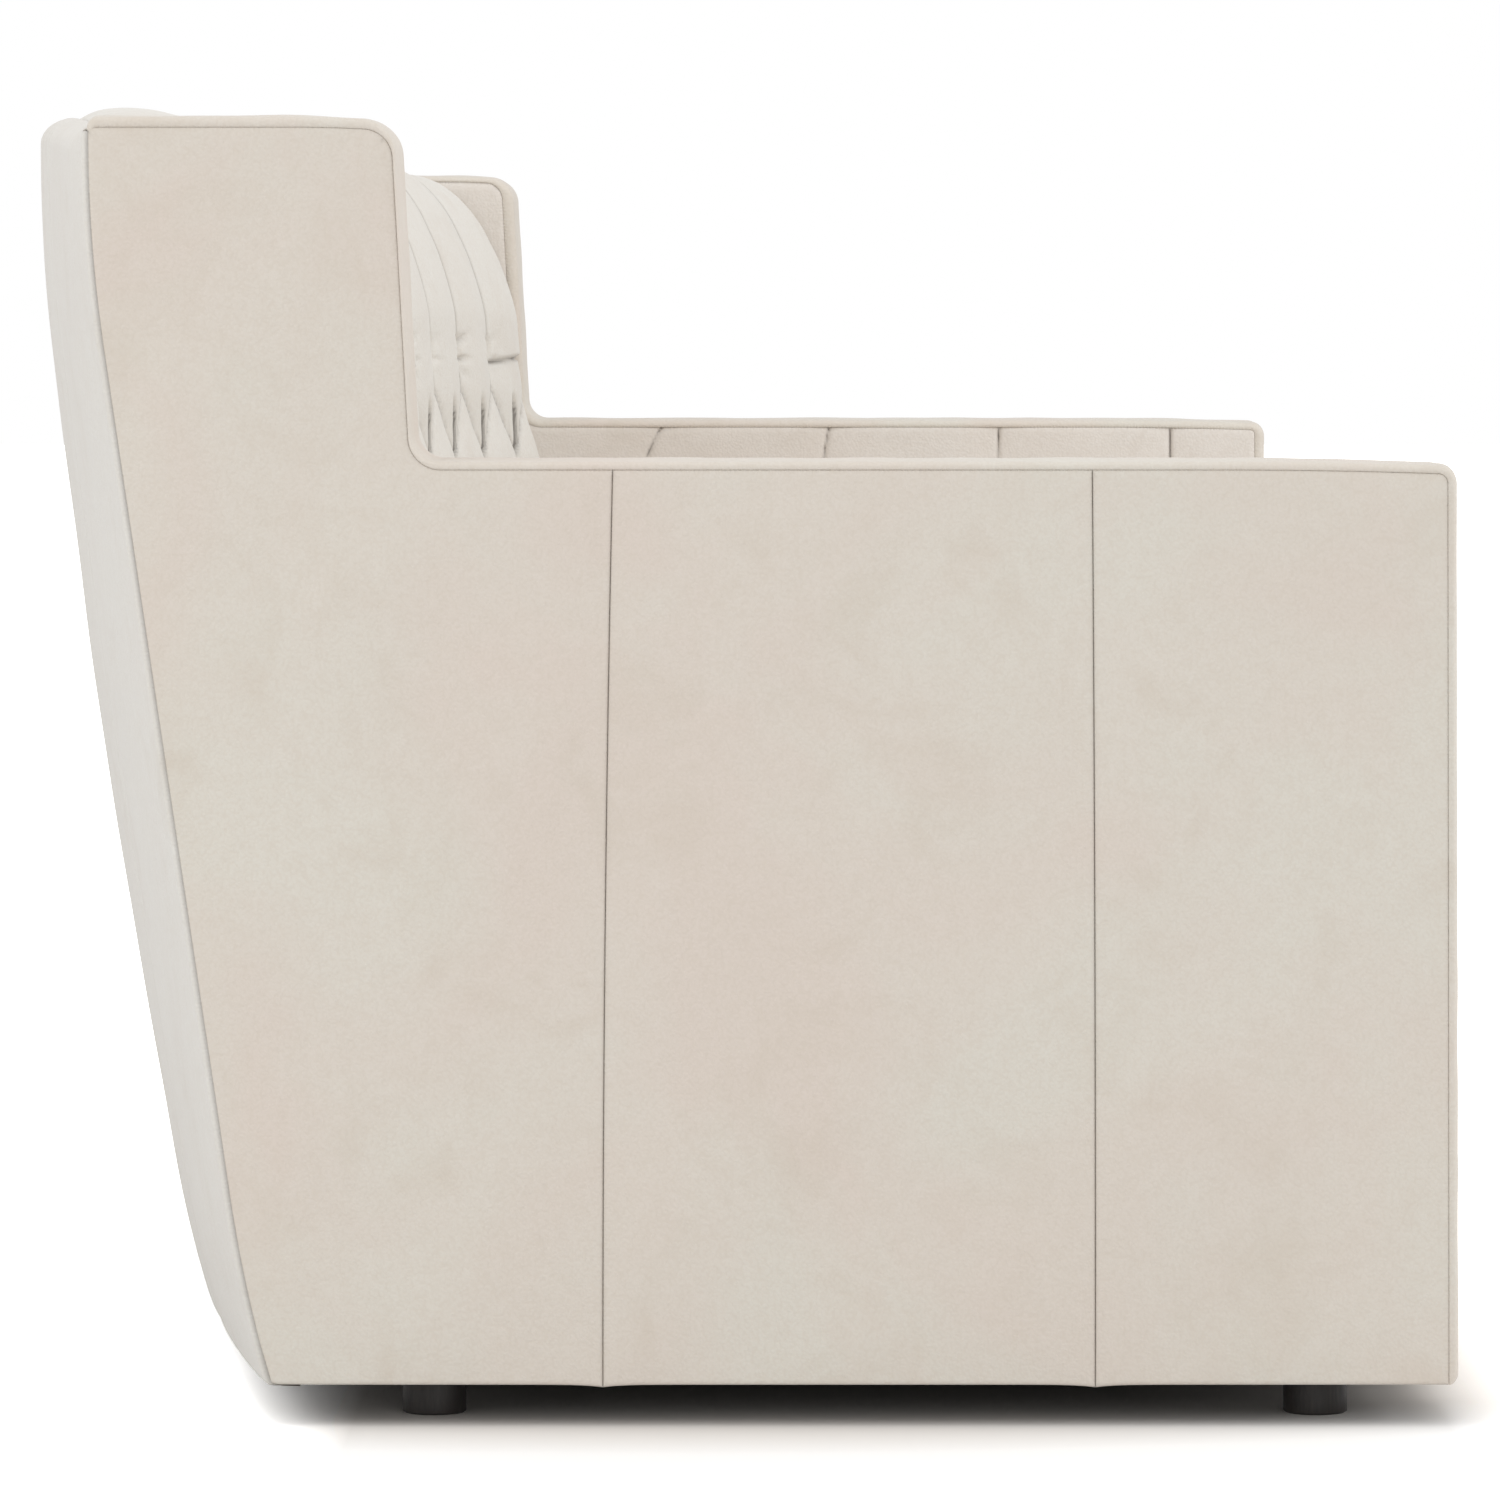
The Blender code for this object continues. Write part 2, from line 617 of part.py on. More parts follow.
def build_back_foam(places):
    """The foam under the tufted cover."""
    profile = lining_profile()[:-1]
    sections = []
    for x in places:
        drops = [FOAM_GAP if z > TUFT_ROW_HEIGHT else 0 for _, z in profile]
        front = [back_point(x, y, z, (FOAM_GAP, -drop)) for (y, z), drop in zip(profile, drops)]
        top_z = front[-1][2]
        back = [(x, frame_plane_y(x, z) - WEBBING_THICKNESS - 2 * GAP, z)
                for z in (top_z, BEND_HEIGHT, DECK_HEIGHT)]
        sections.append(front + back)
    size = len(sections[0])
    points = [point for section in sections for point in section]
    faces = []
    for i in range(len(sections) - 1):
        for j in range(size):
            k = (j + 1) % size
            faces.append((i * size + j, (i + 1) * size + j, (i + 1) * size + k, i * size + k))
    faces.append(tuple(range(size)))
    faces.append(tuple(reversed(range((len(sections) - 1) * size, len(sections) * size))))
    add_piece("inside_back_foam", points, faces, "foam")


def build_inner_side(side, label):
    """The inner cover of an arm and its wing in one piece, pleated along the arm."""
    inset = STRIP_THICKNESS + GAP
    corners = offset_corners(profile_corners(), inset)
    arm_top = corners[1][1]
    wing_y, wing_top = corners[2][0], corners[3][1]
    fillet = corners[2][2]
    pleats = [FRONT + ARM_PLEAT_FIRST + ARM_PLEAT_PITCH * i for i in range(ARM_PLEAT_COUNT)]
    quarter = ARM_PLEAT_PITCH / 4
    columns = [corners[0][0], pleats[0] - quarter]
    columns += spread(pleats[0], pleats[-1], 4 * (ARM_PLEAT_COUNT - 1))
    columns += [pleats[-1] + quarter, wing_y - fillet, wing_y]
    wing_start = len(columns) - 1
    columns += [wing_y + quarter, wing_y + 2 * quarter]
    low_row = ARM_TUFT_HEIGHT - TUFT_ROW_SPACING
    rows = spread(DECK_HEIGHT, low_row, ARM_CELL_COUNT)
    rows += spread(low_row, ARM_TUFT_HEIGHT, ARM_CELL_COUNT)[1:]
    rows += spread(ARM_TUFT_HEIGHT, arm_top, ARM_CELL_COUNT)[1:]
    arm_rows = len(rows)
    rows += [arm_top + fillet] + spread(arm_top + fillet, wing_top, WING_CELL_COUNT)[1:]
    number, front, back = {}, [], []
    for i, column in enumerate(columns):
        for j, z in enumerate(rows):
            if i < wing_start and j >= arm_rows:
                continue
            y = column
            if i == 0:
                y += FRONT_LEAN * (z - FLOOR_CLEARANCE) / (ARM_HEIGHT - FLOOR_CLEARANCE)
            if i >= wing_start:
                share = (i - wing_start) / (len(columns) - 1 - wing_start)
                lead = wing_y + WING_LEAN * max(z - arm_top, 0) / (wing_top - arm_top)
                rear = frame_plane_y(INNER_HALF + INNER_COVER_THICKNESS, z) - 4 * GAP
                y = lead + (rear - lead) * share
            crown = 1.0
            if pleats[0] - 2 * quarter < column < pleats[-1] + 2 * quarter and j < arm_rows:
                across = column - pleats[0]
                crown = tuft_crown(across, z, ARM_PLEAT_PITCH, ARM_TUFT_HEIGHT, TUFT_ROW_SPACING,
                                   ARM_TUFT_ROW_COUNT)
            number[(i, j)] = len(front)
            front.append((INNER_HALF + ARM_TUFT_DEPTH * (1 - crown), y, z))
            back.append((INNER_HALF + INNER_COVER_THICKNESS, y, z))
    cells = []
    for i in range(len(columns) - 1):
        for j in range(len(rows) - 1):
            corner_keys = [(i, j), (i + 1, j), (i + 1, j + 1), (i, j + 1)]
            if all(key in number for key in corner_keys):
                cells.append(tuple(number[key] for key in corner_keys))
    arc = rounded([(wing_y - 2 * fillet, arm_top, 0), corners[2], (corners[3][0], wing_top, 0)])[2:-2]
    arc_points = []
    for y, z in arc:
        arc_points.append(len(front))
        front.append((INNER_HALF, y, z))
        back.append((INNER_HALF + INNER_COVER_THICKNESS, y, z))
    edge = arm_rows - 1
    cells.append((number[(wing_start - 1, edge)], number[(wing_start, edge)],
                  number[(wing_start, edge + 1)], *reversed(arc_points)))
    trim_corner(front, back, number[(0, edge)], corners[1])
    trim_corner(front, back, number[(wing_start, len(rows) - 1)], corners[3])
    name = f"{label}_inner_side_cover"
    points_front, points_back = mirrored(front, side), mirrored(back, side)
    sheet(name, points_front, points_back, cells, "cream_leather", smooth=True, flat_back=True)


def trim_corner(front, back, index, corner):
    """Draw a square corner in to the middle of its rounding."""
    draw = corner[2] * (1 - math.sqrt(0.5))
    for points in (front, back):
        x, y, z = points[index]
        points[index] = (x, y + draw, z - draw)


def build_arm_foam(side, label):
    """The foam slab under an arm's inner cover."""
    x_low = INNER_HALF + INNER_COVER_THICKNESS + GAP
    front_y = FRONT + FRONT_LEAN + ARM_CORNER_RADIUS
    rear = lining_y(INNER_HALF, DECK_HEIGHT) - BOARD - POST_DEPTH
    sided_box(f"{label}_arm_foam", side, (x_low, x_low + ARM_FOAM_THICKNESS), (front_y, rear),
              (DECK_HEIGHT, ARM_HEIGHT - STRIP_THICKNESS - GAP), "foam")


def cushion_point(side, share_x, share_y, share_z, inset):
    """A point of a seat cushion's surface, or of a surface inset under it.

    The seams are drawn in between the corners, the boxing swells between its seams, the top is
    crowned and the rear edge follows the bow of the back.
    """
    inner = CUSHION_SPLIT / 2 + inset
    outer = INNER_HALF - CUSHION_CLEARANCE - inset
    offset_x = 2 * share_x - 1
    offset_y = 2 * share_y - 1
    swell = CUSHION_BULGE * (1 - 4 * share_z * (1 - share_z))
    draw_x = (CUSHION_PULL * (1 - offset_y**2) + swell) * offset_x**5
    x = inner + (outer - inner) * share_x - draw_x
    front_y = FRONT + BORDER_SETBACK - CUSHION_FRONT_SETBACK + inset
    foot_y = CREST_FRONT - math.tan(SEAT_BACK_RAKE) * (TUFT_ROW_HEIGHT - DECK_HEIGHT)
    rear = foot_y + bow(x, DECK_HEIGHT) - bow(INNER_HALF, DECK_HEIGHT) - CUSHION_CLEARANCE - inset
    draw_y = (CUSHION_PULL * (1 - offset_x**2) + swell) * offset_y**5
    y = front_y + (rear - front_y) * share_y - draw_y
    crown = CUSHION_CROWN * (1 - offset_x**4) * (1 - offset_y**4) * share_z
    foot = DECK_HEIGHT + GAP + inset
    height = CUSHION_THICKNESS - CUSHION_CROWN - 2 * inset
    return (x * side, y, foot + height * share_z + crown)


def cushion_surface(side, inset):
    """Points and faces of the closed surface, and the faces of its zip slot's middle row."""
    cells = (CUSHION_CELL_COUNT, CUSHION_CELL_COUNT, BOXING_CELL_COUNT)
    number, points = {}, []
    for i in range(cells[0] + 1):
        for j in range(cells[1] + 1):
            for k in range(cells[2] + 1):
                if i in (0, cells[0]) or j in (0, cells[1]) or k in (0, cells[2]):
                    number[(i, j, k)] = len(points)
                    share_z = k / cells[2]
                    if 0 < k < cells[2]:
                        share_z = 0.5 + (k - cells[2] / 2) * ZIP_HEIGHT / CUSHION_THICKNESS
                    points.append(cushion_point(side, i / cells[0], j / cells[1], share_z, inset))
    faces, slot = [], []
    for axis in range(3):
        first, second = [n for n in range(3) if n != axis]
        for level in (0, cells[axis]):
            for a in range(cells[first]):
                for b in range(cells[second]):
                    face = []
                    for step_a, step_b in ((0, 0), (1, 0), (1, 1), (0, 1)):
                        key = [0, 0, 0]
                        key[axis], key[first], key[second] = level, a + step_a, b + step_b
                        face.append(number[tuple(key)])
                    if level == 0:
                        face.reverse()
                    if axis == 1:
                        face.reverse()
                    in_slot = axis == 1 and level > 0 and b == 1 and 0 < a < cells[0] - 1
                    halves = [(face[0], face[1], face[2]), (face[0], face[2], face[3])]
                    target = slot if in_slot else faces
                    target += halves
    return points, faces, slot


def build_cushion(side, label):
    """A loose seat cushion: a casing open along its rear zip, a foam core and the zip."""
    outer, outer_faces, slot = cushion_surface(side, 0)
    inner, inner_faces, _ = cushion_surface(side, CASING_WALL)
    count = len(outer)
    faces = outer_faces + [tuple(i + count for i in reversed(face)) for face in inner_faces]
    faces += [(a, b, b + count, a + count) for a, b in rim_of(slot)]
    add_piece(f"{label}_seat_cushion_casing", outer + inner, faces, "cream_leather", smooth=True)
    core, core_faces, core_slot = cushion_surface(side, CASING_WALL + GAP)
    add_piece(f"{label}_seat_cushion_core", core, core_faces + core_slot, "foam", smooth=True)
    front, back = [], []
    low = 0.5 - ZIP_HEIGHT / CUSHION_THICKNESS / 2
    trim_x = 2 * GAP / INNER_HALF
    trim_z = 2 * GAP / CUSHION_THICKNESS
    for i in range(1, CUSHION_CELL_COUNT):
        share_x = i / CUSHION_CELL_COUNT
        share_x += trim_x if i == 1 else -trim_x if i == CUSHION_CELL_COUNT - 1 else 0
        for share_z in (low + trim_z, 1 - low - trim_z):
            front.append(cushion_point(side, share_x, 1, share_z, GAP))
            back.append(cushion_point(side, share_x, 1, share_z, CASING_WALL - GAP))
    sheet(f"{label}_seat_cushion_zip", front, back, grid_cells(CUSHION_CELL_COUNT - 2, 1), "zip_tape")


def build_seat_covers():
    """The front border, the deck and the dust cover."""
    reach = INNER_HALF - GAP
    border = box("front_border_cover", (-reach, FRONT + BORDER_SETBACK, FLOOR_CLEARANCE),
                 (reach, BORDER_REAR, DECK_HEIGHT - GAP), "cream_leather")
    bevel = border.modifiers.new("seam edge", "BEVEL")
    bevel.width = BORDER_SETBACK / 2
    bevel.segments = 2
    frame_reach = FRAME_IN - GAP
    deck(("deck_cover", "cream_leather"), DECK_PAD_TOP + GAP, DECK_HEIGHT - GAP, frame_reach)
    deck(("deck_pad", "foam"), DECK_PAD_FOOT, DECK_PAD_TOP, frame_reach)


def deck(names, low, high, reach):
    """A level layer between the arms whose rear edge follows the bow."""
    front, back = [], []
    places = spread(-reach, reach, ROLL_COUNT * 2)
    for x in places:
        rear = frame_plane_y(x, DECK_PAD_FOOT) - GAP
        for y in (BORDER_REAR + GAP, rear):
            front.append((x, y, high))
            back.append((x, y, low))
    sheet(names[0], front, back, grid_cells(len(places) - 1, 1), names[1])


def foot_places():
    """Name, x and y of each foot."""
    x = HALF - FOOT_SIDE_INSET
    front_y = FRONT + FOOT_FRONT_INSET
    rear = BASE_REAR - FOOT_REAR_INSET
    places = [("left_front", -x, front_y), ("right_front", x, front_y)]
    places += [("left_rear", -x, rear), ("right_rear", x, rear), ("centre", 0, (front_y + rear) / 2)]
    return places


def combine(target, helper, operation):
    """Join a hidden helper to a piece, or cut it out of the piece."""
    helper.hide_render = True
    helper.display_type = "WIRE"
    boolean = target.modifiers.new(helper.name, "BOOLEAN")
    boolean.operation = operation
    boolean.solver = "EXACT"
    boolean.object = helper


def turned(name, x, y, profile, sides, finish_name):
    """A solid turned about an upright axis from (radius, height) points."""
    points, faces = [], []
    for step in range(sides):
        angle = 2 * math.pi * step / sides
        points += [(x + r * math.cos(angle), y + r * math.sin(angle), z) for r, z in profile]
    size = len(profile)
    for step in range(sides):
        following = (step + 1) % sides
        for j in range(size - 1):
            a, b = step * size + j, following * size + j
            faces.append((a, b, b + 1, a + 1))
    faces.append(tuple(step * size for step in range(sides)))
    faces.append(tuple(step * size + size - 1 for step in range(sides)))
    return add_piece(name, points, faces, finish_name, smooth=True)


def build_feet(dust_cover, holders):
    """Round feet whose studs pass the dust cover into the plates or the cross rail."""
    foot_top = FLOOR_CLEARANCE - GAP
    stud_top = SILL + STUD_LENGTH - STUD_CLEARANCE
    for place, x, y in foot_places():
        profile = [(FOOT_RADIUS - FOOT_EDGE, 0), (FOOT_RADIUS, FOOT_EDGE), (FOOT_RADIUS, foot_top)]
        foot = turned(f"{place}_foot", x, y, profile, FOOT_SIDE_COUNT, "dark_wood")
        stud = [(STUD_RADIUS, foot_top - STUD_CLEARANCE), (STUD_RADIUS, stud_top)]
        stud = turned(f"{place}_stud", x, y, stud, STUD_SIDE_COUNT, "dark_wood")
        combine(foot, stud, "UNION")
        bore = STUD_RADIUS + GAP
        drill = [(bore, FLOOR_CLEARANCE - STUD_CLEARANCE), (bore, stud_top + GAP)]
        drill = turned(f"{place}_stud_hole", x, y, drill, STUD_SIDE_COUNT, "dark_wood")
        combine(dust_cover, drill, "DIFFERENCE")
        combine(holders[place], drill, "DIFFERENCE")


def curved_board(name, reach, height, top):
    """A board bent along the lining of the outer back, of one height under its edge top(x)."""
    points = []
    places = [-reach] + spread(-INNER_HALF, INNER_HALF, ROLL_COUNT * 2) + [reach]
    for x in places:
        for z in (top(x) - height, top(x)):
            rear = lining_y(x, z) - RAIL_GAP
            points += [(x, rear, z), (x, rear - BOARD, z)]
    faces = []
    for i in range(len(places) - 1):
        a, b = 4 * i, 4 * i + 4
        for j, k in ((0, 1), (1, 3), (3, 2), (2, 0)):
            faces.append((a + j, b + j, b + k, a + k))
    end = 4 * (len(places) - 1)
    faces += [(0, 1, 3, 2), (end, end + 2, end + 3, end + 1)]
    add_piece(name, points, faces, "hardwood")


def crest_top(x):
    """The height of the lining under the tufted crest."""
    top = CREST_HEIGHT - BACK_COVER_THICKNESS
    return top + crest_rise(x) * (top - TUFT_ROW_HEIGHT) / (CREST_HEIGHT - TUFT_ROW_HEIGHT)


def build_back_frame():
    """The three bent rails of the back, from one rear post to the other."""
    reach = FRAME_IN - GAP
    curved_board("rear_bottom_rail", reach, RAIL_HEIGHT, lambda x: RAIL_FOOT + RAIL_HEIGHT)
    curved_board("seat_rear_rail", reach, RAIL_HEIGHT, lambda x: SEAT_RAIL_TOP)
    curved_board("back_top_rail", reach, TOP_RAIL_HEIGHT, lambda x: crest_top(x) - GAP)


def sided_box(name, side, x_range, y_range, z_range, finish_name):
    """A rectangular piece of an arm. x_range is on the +X side, and side -1 turns it over."""
    xs = sorted((x_range[0] * side, x_range[1] * side))
    box(name, (xs[0], y_range[0], z_range[0]), (xs[1], y_range[1], z_range[1]), finish_name)


def profile_board(name, side, outline, x_range):
    """A board of an arm or wing, sawn to an outline of (y, z) points."""
    points = [(x * side, y, z) for x in x_range for y, z in outline]
    add_piece(name, points, plate_faces(len(outline)), "hardwood")


def build_side_frame(side, label):
    """The boards inside an arm and its wing."""
    across = (FRAME_IN, FRAME_OUT)
    post_front = FRONT + FRONT_LEAN + STRIP_THICKNESS + GAP
    post_rear = post_front + POST_DEPTH
    arm_top = ARM_HEIGHT - STRIP_THICKNESS - GAP
    wing_top = WING_HEIGHT - STRIP_THICKNESS - GAP
    chamfer = ARM_CORNER_RADIUS - STRIP_THICKNESS
    outline = [(post_front, RAIL_FOOT), (post_front, arm_top - chamfer), (post_front + chamfer, arm_top)]
    outline += [(post_rear, arm_top), (post_rear, RAIL_FOOT)]
    profile_board(f"{label}_arm_front_post", side, outline, across)
    rear_face = [(lining_y(FRAME_OUT, z) - 2 * GAP, z)
                 for z in (RAIL_FOOT, BEND_HEIGHT, (BEND_HEIGHT + WING_HEIGHT) / 2, wing_top)]
    front_face = [(y - POST_DEPTH, z) for y, z in reversed(rear_face)]
    profile_board(f"{label}_rear_post", side, rear_face + front_face, across)
    rail_end = rear_face[0][0] - POST_DEPTH - GAP
    sided_box(f"{label}_bottom_rail", side, across, (post_rear + GAP, rail_end),
              (RAIL_FOOT, RAIL_FOOT + RAIL_HEIGHT), "hardwood")
    rail_end = lining_y(FRAME_OUT, arm_top - BOARD) - POST_DEPTH - 3 * GAP
    sided_box(f"{label}_arm_top_rail", side, across, (post_rear + GAP, rail_end),
              (arm_top - BOARD, arm_top), "hardwood")
    foot = arm_top + GAP
    corners = offset_corners(profile_corners(), STRIP_THICKNESS + GAP)
    chamfer = corners[3][2]
    outline = [(corners[2][0] + GAP, foot), (corners[3][0], wing_top - chamfer),
               (corners[3][0] + chamfer, wing_top)]
    outline += [(lining_y(FRAME_OUT, z) - POST_DEPTH - 3 * GAP, z) for z in (wing_top, BEND_HEIGHT, foot)]
    wing_in = INNER_HALF + INNER_COVER_THICKNESS + GAP
    profile_board(f"{label}_wing_frame", side, outline, (wing_in, FRAME_OUT))


def build_springs():
    """Waved seat springs, tied by a wire and held in clip bars on the two seat rails."""
    front_y = BORDER_REAR + GAP + BOARD / 2
    foot, top = SEAT_RAIL_TOP + GAP, SEAT_RAIL_TOP + GAP + CLIP_BAR_THICKNESS
    bars, bar_faces = [], []
    reach = FRAME_IN - GAP
    tie_y = (front_y + lining_y(INNER_HALF, SEAT_RAIL_TOP)) / 2
    tie = SPRING_WIRE_RADIUS * TIE_WIRE_SHARE
    rows = (
        (lambda x: front_y, CLIP_BAR_DEPTH / 2, foot, top),
        (lambda x: frame_plane_y(x, SEAT_RAIL_TOP) + BOARD / 2, CLIP_BAR_DEPTH / 2, foot, top),
        (lambda x: tie_y, tie, SPRING_HEIGHT - tie, SPRING_HEIGHT + tie),
    )
    for line, half_depth, low, high in rows:
        start = len(bars)
        places = spread(-reach, reach, ROLL_COUNT * 2)
        for x in places:
            y = line(x)
            bars += [(x, y - half_depth, low), (x, y + half_depth, low),
                     (x, y + half_depth, high), (x, y - half_depth, high)]
        for i in range(len(places) - 1):
            a, b = start + 4 * i, start + 4 * i + 4
            bar_faces += [(a + j, b + j, b + (j + 1) % 4, a + (j + 1) % 4) for j in range(4)]
        last = start + 4 * (len(places) - 1)
        bar_faces += [(start, start + 1, start + 2, start + 3), (last + 3, last + 2, last + 1, last)]
    unit = add_piece("seat_spring_unit", bars, bar_faces, "spring_steel")
    wires, wire_faces = [], []
    steps = SPRING_WAVE_COUNT * WAVE_POINT_COUNT
    for number in range(SPRING_COUNT):
        centre = INNER_HALF * ((2 * number + 1) / SPRING_COUNT - 1)
        rear_end = frame_plane_y(centre, SEAT_RAIL_TOP) + BOARD / 2
        start = len(wires)
        for step in range(steps + 1):
            phase = 2 * math.pi * SPRING_WAVE_COUNT * step / steps
            x = centre + SPRING_SWING * math.sin(phase)
            y = front_y + (rear_end - front_y) * step / steps
            slope_x = SPRING_SWING * 2 * math.pi * SPRING_WAVE_COUNT * math.cos(phase)
            slope_y = rear_end - front_y
            length = math.hypot(slope_x, slope_y)
            side_x = slope_y / length * SPRING_WIRE_RADIUS
            side_y = -slope_x / length * SPRING_WIRE_RADIUS
            wires += [(x + side_x, y + side_y, SPRING_HEIGHT), (x, y, SPRING_HEIGHT + SPRING_WIRE_RADIUS),
                      (x - side_x, y - side_y, SPRING_HEIGHT), (x, y, SPRING_HEIGHT - SPRING_WIRE_RADIUS)]
        for step in range(steps):
            a, b = start + 4 * step, start + 4 * step + 4
            wire_faces += [(a + j, b + j, b + (j + 1) % 4, a + (j + 1) % 4) for j in range(4)]
        last = start + 4 * steps
        wire_faces += [(start + 3, start + 2, start + 1, start), (last, last + 1, last + 2, last + 3)]
    combine(unit, add_piece("spring_waves", wires, wire_faces, "spring_steel"), "UNION")


def build_base():
    """The dust cover, the leg plates, the front and cross rails and the feet."""
    front, back = [], []
    places = spread(-FRAME_OUT, FRAME_OUT, ROLL_COUNT)
    for x in places:
        for y in (BORDER_REAR + GAP, lining_y(x, FLOOR_CLEARANCE) - GAP):
            front.append((x, y, FLOOR_CLEARANCE + DUST_COVER_THICKNESS))
            back.append((x, y, FLOOR_CLEARANCE))
    dust_cover = sheet("dust_cover", front, back, grid_cells(len(places) - 1, 1), "black_cloth")
    rail_front = BORDER_REAR + GAP
    box("front_rail", (-FRAME_IN + GAP, rail_front, RAIL_FOOT),
        (FRAME_IN - GAP, rail_front + BOARD, SEAT_RAIL_TOP), "hardwood")
    rail_end = frame_plane_y(0, SILL) - GAP
    holders = {"centre": box("centre_cross_rail", (-CROSS_RAIL_WIDTH / 2, rail_front + BOARD + GAP, SILL),
                             (CROSS_RAIL_WIDTH / 2, rail_end, SILL + RAIL_HEIGHT), "hardwood")}
    half = LEG_PLATE_LENGTH / 2
    for place, x, y in foot_places()[:4]:
        holders[place] = box(f"{place}_leg_plate", (x - half, y - half, SILL),
                             (x + half, y + half, SILL + LEG_PLATE_THICKNESS), "hardwood")
    build_feet(dust_cover, holders)


def main():
    """Build every piece."""
    clear_scene()
    for side, label in ((-1, "left"), (1, "right")):
        build_border_strip(f"{label}_border_strip", side)
        build_side_panels(side, label)
        build_inner_side(side, label)
        build_arm_foam(side, label)
        build_cushion(side, label)
        build_side_frame(side, label)
    build_outer_back()
    build_inside_back()
    build_seat_covers()
    build_back_frame()
    build_springs()
    build_base()


main()
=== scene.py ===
"""The looks of a wide tufted leather sofa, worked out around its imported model.

Every length is in metres. +X runs along the sofa's width, the sofa faces -Y and +Z is up.
"""

import logging
import math
from dataclasses import dataclass, field
from enum import Enum
from typing import Optional, Sequence

import bpy
import numpy as np
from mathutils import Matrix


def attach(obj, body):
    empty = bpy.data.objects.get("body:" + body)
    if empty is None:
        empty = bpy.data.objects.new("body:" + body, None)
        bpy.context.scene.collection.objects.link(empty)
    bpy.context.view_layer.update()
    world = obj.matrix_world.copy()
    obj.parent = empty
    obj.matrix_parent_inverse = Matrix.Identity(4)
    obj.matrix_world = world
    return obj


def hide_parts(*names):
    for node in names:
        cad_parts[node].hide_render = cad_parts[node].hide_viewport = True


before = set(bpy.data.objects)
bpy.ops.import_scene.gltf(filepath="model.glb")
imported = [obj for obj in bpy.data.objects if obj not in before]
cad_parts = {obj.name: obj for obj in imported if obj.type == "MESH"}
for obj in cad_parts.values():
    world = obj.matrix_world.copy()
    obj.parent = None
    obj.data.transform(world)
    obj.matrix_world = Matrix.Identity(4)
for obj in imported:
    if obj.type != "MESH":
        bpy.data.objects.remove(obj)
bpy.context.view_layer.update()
LOG = logging.getLogger("sofa")

Array = np.ndarray
Triple = tuple[float, float, float]
Colour = tuple[float, float, float, float]

# A distance from a seam or a crease at which nothing of it shows.
FAR = 0.05


class Side(Enum):
    """The two mirrored ends of the sofa. Its value turns +X over for the left end."""

    LEFT = -1
    RIGHT = 1

    @property
    def label(self) -> str:
        """The word that starts the names of this end's pieces."""
        return self.name.lower()


